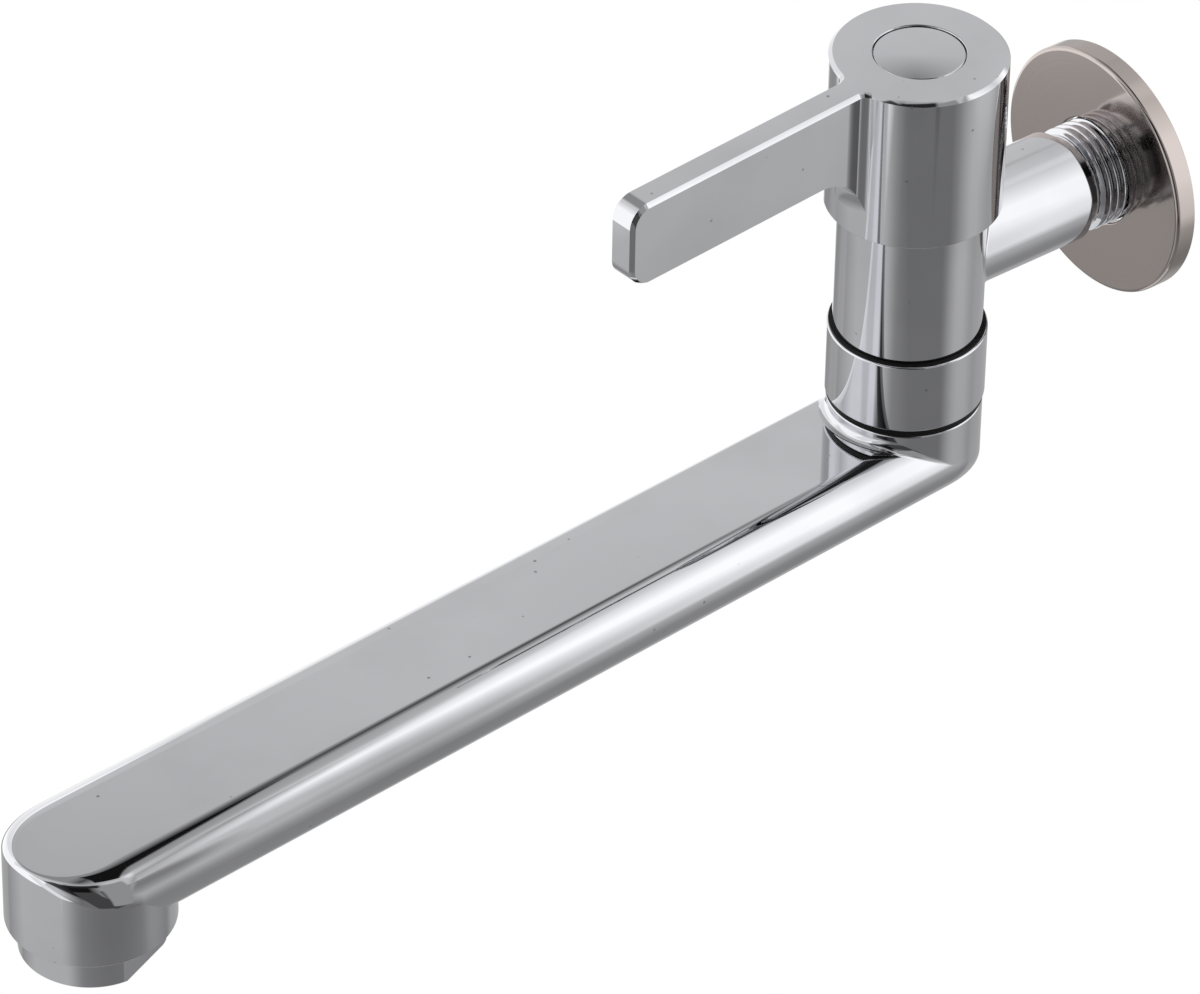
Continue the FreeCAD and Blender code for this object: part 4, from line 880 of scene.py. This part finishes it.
def handle_shell(skin, s):
    """The handle: cap and skirt about the axis, and a lever with fillets, chamfer and arch.

    The plan of one side is the lever's face x = w, the root fillet about its own centre and the
    cap's circle; drawn in by c it is the top's outline. The underside lies at
    z = zc + sqrt(A^2 - (rc - r)^2) under the arch, with r the distance from the axis.
    """
    w, c, f = s.width / 2, s.chamfer, s.root
    under, side_top, tip = s.top - s.height, s.top - s.chamfer, -s.reach
    arch_run = s.cap + math.sqrt(s.arch ** 2 - s.arch_foot ** 2)
    arch_level = under - s.arch
    hub = np.array([w + f, -math.sqrt((s.cap + f) ** 2 - (w + f) ** 2)])
    contact = math.atan2(hub[0], -hub[1])

    def low_level(radius):
        inside = np.maximum(arch_run - radius, 0)
        return arch_level + np.sqrt(np.maximum(s.arch ** 2 - inside ** 2, 0))

    # Plan of one side from the end's corners to the cap: straight, then the fillet
    start = tip + max(s.upper_corner, s.lower_corner) + LEVER_STEP
    straight = np.concatenate([np.linspace(start, LEVER_NEAR - LEVER_STEP, 12),
                               np.linspace(LEVER_NEAR, hub[1], 22)])
    swing = np.linspace(-np.pi / 2, -contact, 13)[1:]
    spokes = to_wall(swing)
    plan_out = np.concatenate([np.tile([1.0, 0.0, 0.0], (len(straight), 1)), -spokes])

    def plan(inset, level):
        """The plan drawn in, at one level or at one for each point."""
        line = np.stack([np.full_like(straight, w - inset), straight], -1)
        flat = np.concatenate([line, hub + (f + inset) * spokes[:, :2]])
        return np.concatenate([flat, np.broadcast_to(level, (len(flat),))[:, None]], -1)

    lower = plan(0.0, 0.0)
    lower[:, 2] = low_level(np.linalg.norm(lower[:, :2], axis=-1))
    upper = plan(0.0, side_top)

    # Contour of the lever's end, from its underside round the tip to its top
    corner = 11  # samples round each corner
    turn = np.linspace(0, np.pi / 2, corner)
    low_out = np.stack([0 * turn, -np.sin(turn), -np.cos(turn)], -1)
    high_out = np.stack([0 * turn, -np.cos(turn), np.sin(turn)], -1)
    low_arc = np.array([0, tip + s.lower_corner, under + s.lower_corner]) + s.lower_corner * low_out
    high_arc = np.array([0, tip + s.upper_corner, s.top - s.upper_corner]) \
        + s.upper_corner * high_out
    upright = ruled(low_arc[-1:], high_arc[:1], 14)[1:-1, 0]
    contour = np.concatenate([[[0, start, under]], low_arc, upright, high_arc,
                              [[0, start, s.top]]])
    contour_out = np.concatenate([low_out[:1], low_out, np.tile(low_out[-1], (len(upright), 1)),
                                  high_out, high_out[-1:]])
    # The chamfer's width there: it grows from nothing round the lower corner
    fade = c * np.concatenate(
        [[0], np.sin(turn) ** 0.7, np.ones(len(contour) - corner - 1)])[:, None]
    side_line = contour - fade * contour_out + [w, 0, 0]
    sideways = np.array([1.0, 0.0, 0.0])

    # Side face: its columns run from the lower line to the upper one
    low_chain = np.concatenate([side_line[corner:0:-1], lower])
    high_chain = np.concatenate([side_line[-corner - 1:-1], upper])
    outward = np.concatenate([np.tile(sideways, (len(low_chain) - len(plan_out), 1)), plan_out])
    skin.grid(ruled(low_chain, high_chain, 14), outward, mirrored=True)

    # Chamfer, a shallow arc of radius R: inset R (cos e0 - cos e) and rise R (sin e - sin e0),
    # with the normal cos e N + sin e M; round the end, along the lever and into the cap
    e = np.linspace(math.pi / 4 - s.chamfer_bow, math.pi / 4 + s.chamfer_bow, 7)
    bow = c / (np.cos(e[0]) - np.cos(e[-1]))
    inset, rise = bow * (np.cos(e[0]) - np.cos(e)), bow * (np.sin(e) - np.sin(e[0]))
    drawn_in, raised = (value[:, None, None] / c for value in (inset, rise))
    face_in, face_up = np.cos(e)[:, None, None], np.sin(e)[:, None, None]
    skin.grid(contour - fade * (1 - raised) * contour_out + (w - fade * drawn_in) * sideways,
              face_in * sideways + face_up * contour_out, mirrored=True)
    edge = np.stack([plan(into, side_top + over) for into, over in zip(inset, rise)])
    skin.grid(edge, face_in * plan_out + face_up * UP, mirrored=True)
    cap_edge = (np.stack([s.cap - inset, side_top + rise], -1),
                np.stack([np.cos(e), np.sin(e)], -1))

    # Rows across the lever share one spacing, x = x_edge sin(t) / sin(contact), and the last ones
    # bend into the cap's circle
    turns = np.linspace(-contact, contact, 33)
    spread = np.sin(turns) / math.sin(contact)
    bulge = np.cos(turns) - math.cos(contact)
    bent = 30  # rows that bend
    bend = np.clip((np.arange(len(lower)) - (len(lower) - bent)) / (bent - 1), 0, 1)

    def across(side, radius):
        return side[:, 0:1] * spread, side[:, 1:2] - (bend * radius)[:, None] * bulge

    x, y = across(edge[-1], s.cap - c)
    skin.grid(np.stack([x, y, np.full_like(x, s.top)], -1), UP)
    x, y = across(lower, np.linalg.norm(lower[:, :2], axis=-1))
    radius = np.hypot(x, y)
    z = low_level(radius)
    z[radius >= arch_run] = under
    slope = np.where(radius < arch_run, (arch_run - radius) / np.maximum(z - arch_level, 1e-6), 0.0)
    away = np.stack([x / radius, y / radius, 0 * x], -1)
    skin.grid(np.stack([x, y, z], -1), unit(slope[..., None] * away - UP))
    end_x = (w - fade) * spread
    end_face = contour[:, None] + end_x[..., None] * sideways
    skin.grid(end_face, contour_out[:, None])

    # Cap and skirt
    back = np.linspace(contact, 2 * np.pi - contact, 133)
    directions = around_axis(back)
    foot_level = low_level(np.array([s.cap]))[0]
    skin.grid(ruled(directions * s.cap + UP * foot_level, directions * s.cap + UP * side_top, 14),
              directions)
    skin.grid(*turned(cap_edge, directions))
    seat, seat_level = SCREW_SEAT
    hole, hole_level = SCREW_HOLE
    inner = path([(s.cap - c, s.top), (s.recess, s.top, SHOULDER_EDGE), (s.recess, s.recess_floor),
                  (seat, s.recess_floor), (seat, seat_level), (hole, seat_level),
                  (hole, hole_level), (s.spline, hole_level), (s.spline, s.hub_end),
                  (s.hub, s.hub_end), (s.hub, s.hollow_top), (s.skirt_inside, s.hollow_top),
                  (s.skirt_inside, s.skirt, INNER_EDGE), (s.cap, s.skirt, SKIRT_EDGE),
                  (s.cap, foot_level)])
    skin.grid(*turned(inner, around_axis(np.concatenate([turns, back[1:]]))))


def button_shell(skin, s):
    """The button: z = edge + crown (1 - (r / R)^2) inside a rounded edge."""
    edge_level = s.recess_floor + s.button_edge
    radius = np.linspace(s.button - BUTTON_EDGE - BUTTON_PLAY, 0, 16)
    dome = np.stack([radius, edge_level + s.button_crown * (1 - (radius / s.button) ** 2)], -1)
    dome_out = unit(np.stack([2 * s.button_crown * radius / s.button ** 2,
                              np.ones_like(radius)], -1))
    low = path([(0.0, s.recess_floor), (s.button, s.recess_floor),
                (s.button, dome[0, 1], BUTTON_EDGE), tuple(dome[0])])
    skin.grid(*turned((np.concatenate([low[0], dome]), np.concatenate([low[1], dome_out]))))


class Kit:
    """The scene's sizes under short names, and the way in which every piece is built."""

    def __init__(self, scene):
        self.place, self.body, self.rings = scene.tap_place, scene.tap_body, scene.tap_rings
        self.spout, self.handle = scene.tap_spout, scene.tap_handle

    def piece(self, name, body, node, finish, shape, *sizes):
        """Shapes a piece, moves it into the frame, ties it to its body and hides the node that it
        replaces.
        """
        skin = Skin()
        shape(skin, *sizes)
        swing = {"spout": self.place.spout_swing, "handle": self.place.lever_swing}.get(body, 0.0)
        # The flange is worked out from the wall, and the others from the tap's axis
        stand = 0.0 if node == "wall_flange" else self.place.axis_to_wall
        made = skin.made(name, material(finish), swing, stand)
        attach(made, body)
        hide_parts(node)


def material(name):
    """A finish that is already made."""
    found = bpy.data.materials.get("finish_" + name)
    if found is None:
        raise RuntimeError(f"the finish {name} isn't made yet")
    return found


# ---------------------------------------------------------------- operators

class TAP_OT_finishes(bpy.types.Operator):
    """Makes every finish"""
    bl_idname = "tap.finishes"
    bl_label = "Finishes"

    def execute(self, context):
        tones = context.scene.tap_finishes
        chrome_plate("chrome", tones.chrome, tones.chrome_roughness)
        satin_plate("satin_nickel", tones.nickel)
        moulded("black_plastic", tones.black, 0.45, gloss=0.15)
        moulded("rubber", tones.rubber, 0.6)
        moulded("insert_plastic", tones.insert, 0.4)
        moulded("ceramic", tones.ceramic, 0.2, 900.0)
        machined("brass", tones.brass, 0.28)
        machined("steel", tones.steel, 0.25)
        return {"FINISHED"}


class TAP_OT_body(bpy.types.Operator):
    """Builds the body with its arm and thread"""
    bl_idname = "tap.body"
    bl_label = "Body"

    def execute(self, context):
        kit = Kit(context.scene)
        kit.piece("body_shell", "valve", "valve_body", "chrome", body_shell, kit.body, kit.place)
        return {"FINISHED"}


class TAP_OT_flange(bpy.types.Operator):
    """Builds the wall flange"""
    bl_idname = "tap.flange"
    bl_label = "Wall flange"

    def execute(self, context):
        kit = Kit(context.scene)
        kit.piece("flange_shell", "valve", "wall_flange", "satin_nickel", flange_shell, kit.rings)
        return {"FINISHED"}


class TAP_OT_rings(bpy.types.Operator):
    """Builds the collar and the two black slip rings"""
    bl_idname = "tap.rings"
    bl_label = "Collar and rings"

    def execute(self, context):
        kit = Kit(context.scene)
        rings, spout = kit.rings, kit.spout
        kit.piece("collar_shell", "valve", "spout_nut", "chrome", nut_shell, rings)
        kit.piece("upper_ring_shell", "valve", "upper_ring", "black_plastic", plain_shell,
                  NUT_BORE, rings.ring, -rings.nut_top, -kit.body.shoulder)
        kit.piece("lower_ring_shell", "spout", "lower_ring", "black_plastic", plain_shell,
                  spout.neck + RING_GAP, rings.ring, -spout.boss_top,
                  -rings.nut_bottom - RING_PLAY)
        return {"FINISHED"}


class TAP_OT_spout(bpy.types.Operator):
    """Builds the spout and the outlet ring"""
    bl_idname = "tap.spout"
    bl_label = "Spout"

    def execute(self, context):
        kit = Kit(context.scene)
        kit.piece("spout_shell", "spout", "spout", "chrome", spout_shell, kit.spout)
        kit.piece("outlet_ring_shell", "spout", "aerator_housing", "chrome", aerator_shell,
                  kit.rings, kit.spout)
        return {"FINISHED"}


class TAP_OT_handle(bpy.types.Operator):
    """Builds the handle and its button"""
    bl_idname = "tap.handle"
    bl_label = "Handle"

    def execute(self, context):
        kit = Kit(context.scene)
        kit.piece("handle_shell", "handle", "handle", "chrome", handle_shell, kit.handle)
        kit.piece("button_shell", "handle", "index_button", "chrome", button_shell, kit.handle)
        return {"FINISHED"}


INNER = {
    "brass": ["headwork_body", "spindle"],
    "rubber": ["headwork_oring", "seat_seal", "neck_oring_1", "neck_oring_2", "spindle_oring_1",
               "spindle_oring_2", "aerator_washer"],
    "ceramic": ["fixed_disc", "moving_disc"],
    "steel": ["handle_screw", "spindle_clip", "aerator_screen"],
    "insert_plastic": ["aerator_insert", "retaining_ring"],
}


class TAP_OT_inner(bpy.types.Operator):
    """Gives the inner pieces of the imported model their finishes"""
    bl_idname = "tap.inner"
    bl_label = "Inner pieces"

    def execute(self, context):
        for name, nodes in INNER.items():
            for node in nodes:
                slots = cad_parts[node].material_slots
                if not slots:
                    raise RuntimeError(f"{node} has no material slot")
                for slot in slots:
                    slot.link = "OBJECT"
                    slot.material = material(name)
        return {"FINISHED"}


class TAP_OT_stage(bpy.types.Operator):
    """Sets the camera, the floor and the studio light"""
    bl_idname = "tap.stage"
    bl_label = "Studio"

    def execute(self, context):
        studio = context.scene.tap_studio
        make_camera(context, studio)
        make_floor(context, studio)
        make_light(context, studio)
        return {"FINISHED"}


def make_camera(context, studio):
    """The camera looks along (-sin a cos e, cos a cos e, -sin e) and is rolled about that line."""
    a, e = studio.azimuth, studio.elevation
    forward = Vector((-math.sin(a) * math.cos(e), math.cos(a) * math.cos(e), -math.sin(e)))
    level = Vector((math.cos(a), math.sin(a), 0.0))
    over = level.cross(forward)
    right = level * math.cos(studio.roll) + over * math.sin(studio.roll)
    head = right.cross(forward)
    data = bpy.data.cameras.new("camera")
    data.lens, data.sensor_width = studio.lens, 36.0
    data.clip_start, data.clip_end = 0.05, 20.0
    camera = bpy.data.objects.new("camera", data)
    camera.matrix_world = Matrix.Translation(studio.stand) @ Matrix(
        [right, head, -forward]).transposed().to_4x4()
    context.scene.collection.objects.link(camera)
    context.scene.camera = camera
    context.scene.view_settings.view_transform = "Standard"


def make_floor(context, studio):
    """A level floor z = -drop under the tap, white for the camera and in glossy surfaces."""
    mesh = bpy.data.meshes.new("floor")
    spot = np.array([[-1, -1, 0], [1, -1, 0], [1, 1, 0], [-1, 1, 0]]) * studio.floor_half
    spot += [0, -studio.floor_ahead, -studio.floor_drop]
    mesh.from_pydata(spot.tolist(), [], [(0, 1, 2, 3)])
    finish = shades("floor_paint")
    camera, glossy, through = (finish.node("ShaderNodeLightPath", output=f"Is {kind} Ray")
                               for kind in ("Camera", "Glossy", "Transmission"))
    tone = opaque(studio.floor_colour)
    paint = finish.node("ShaderNodeBsdfDiffuse", {}, {
        "Color": finish.mixed(tone, opaque(studio.floor_colour, 0.96), finish.noise(1.5, 2.0))})
    finish.surface(finish.node("ShaderNodeMixShader", {}, {
        0: camera + glossy + through, 1: paint, 2: finish.glow(1.0)}))
    mesh.materials.append(finish.owner)
    floor = bpy.data.objects.new("floor", mesh)
    context.scene.collection.objects.link(floor)


def make_light(context, studio):
    """A plain pale world, and a light tent that only polished surfaces mirror.

    The tent is a dome; its panels are laid over each other by the direction from its centre.
    """
    world = bpy.data.worlds.new("studio")
    context.scene.world = world
    world.cycles_visibility.glossy = False
    finish = Finish(world)
    camera = finish.node("ShaderNodeLightPath", output="Is Camera Ray")
    finish.surface(finish.node("ShaderNodeBackground", {}, {
        "Color": WHITE, "Strength": camera * (1.0 - studio.plain) + studio.plain}))

    finish = shades("tent_cloth")
    away = finish.vector("SUBTRACT", finish.place(), tuple(studio.tent_centre))
    where = finish.vector("NORMALIZE", away)
    height = finish.part(where, "Z")
    low, middle, high = TENT_LEVELS
    lowest, highest = TENT_HEIGHTS
    light = finish.ramp(height, lowest, 0.0, low, middle) \
        + finish.ramp(height, 0.0, highest, 0.0, high - middle)
    for *shape, brightness in TENT_PANELS:
        light = light + (brightness - light) * panel_mask(finish, where, *shape)
    finish.surface(finish.glow(light))
    finish.owner.cycles.emission_sampling = "NONE"
    rise = np.linspace(-np.pi / 2, np.pi / 2, 49)
    rim = studio.tent * np.stack([np.cos(rise), np.sin(rise)], -1)
    points, normals = turned((rim, unit(rim)), ring(96))
    skin = Skin()
    skin.grid(points + np.array(studio.tent_centre), -normals)
    tent = skin.made("tent", finish.owner)
    tent.visible_camera = tent.visible_diffuse = tent.visible_shadow = False
    tent.visible_transmission = tent.visible_volume_scatter = False


def panel_mask(finish, where, azimuth, elevation, turn, half_width, half_height, soft):
    """A soft-edged rectangle round a direction c: |atan2(d.u, d.c)| and |atan2(d.w, d.c)|."""
    a, e, t = (math.radians(value) for value in (azimuth, elevation, turn))
    centre = Vector((math.sin(a) * math.cos(e), math.cos(a) * math.cos(e), math.sin(e)))
    level = Vector((math.cos(a), -math.sin(a), 0.0))
    over = level.cross(centre)
    over = -over if over.z < 0 else over
    sides = (level * math.cos(t) + over * math.sin(t),
             over * math.cos(t) - level * math.sin(t))
    ahead, mask = finish.dot(where, centre), 1.0
    for side, half in zip(sides, (half_width, half_height)):
        across = finish.math("ABSOLUTE", finish.dot(where, side))
        away = finish.math("ARCTAN2", across, ahead)
        mask = mask * finish.ramp(away, math.radians(half - soft), math.radians(half + soft),
                                  1.0, 0.0)
    return mask


# ---------------------------------------------------------------- panel and registration

STEPS = ("finishes", "body", "flange", "rings", "spout", "handle", "inner", "stage")
GROUPS = (("tap_place", TapPlace), ("tap_body", TapBodySizes), ("tap_rings", TapRingSizes),
          ("tap_spout", TapSpoutSizes), ("tap_handle", TapHandleSizes),
          ("tap_finishes", TapFinishes), ("tap_studio", TapStudio))


class TAP_PT_panel(bpy.types.Panel):
    """Lists the tap's building steps"""
    bl_idname = "TAP_PT_panel"
    bl_label = "Kitchen tap"
    bl_space_type = "VIEW_3D"
    bl_region_type = "UI"
    bl_category = "Tap"

    def draw(self, context):
        for step in STEPS:
            self.layout.operator("tap." + step)
        for name, group in GROUPS:
            box = self.layout.box()
            for field in group.__annotations__:
                box.prop(getattr(context.scene, name), field)


CLASSES = tuple(group for _, group in GROUPS) + (
    TAP_OT_finishes, TAP_OT_body, TAP_OT_flange, TAP_OT_rings, TAP_OT_spout, TAP_OT_handle,
    TAP_OT_inner, TAP_OT_stage, TAP_PT_panel)


def register():
    for item in CLASSES:
        bpy.utils.register_class(item)
    for name, group in GROUPS:
        setattr(bpy.types.Scene, name, bpy.props.PointerProperty(type=group))


def unregister():
    for name, _ in GROUPS:
        delattr(bpy.types.Scene, name)
    for item in reversed(CLASSES):
        bpy.utils.unregister_class(item)


def main():
    register()
    for step in STEPS:
        getattr(bpy.ops.tap, step)()


if __name__ == "__main__":
    main()
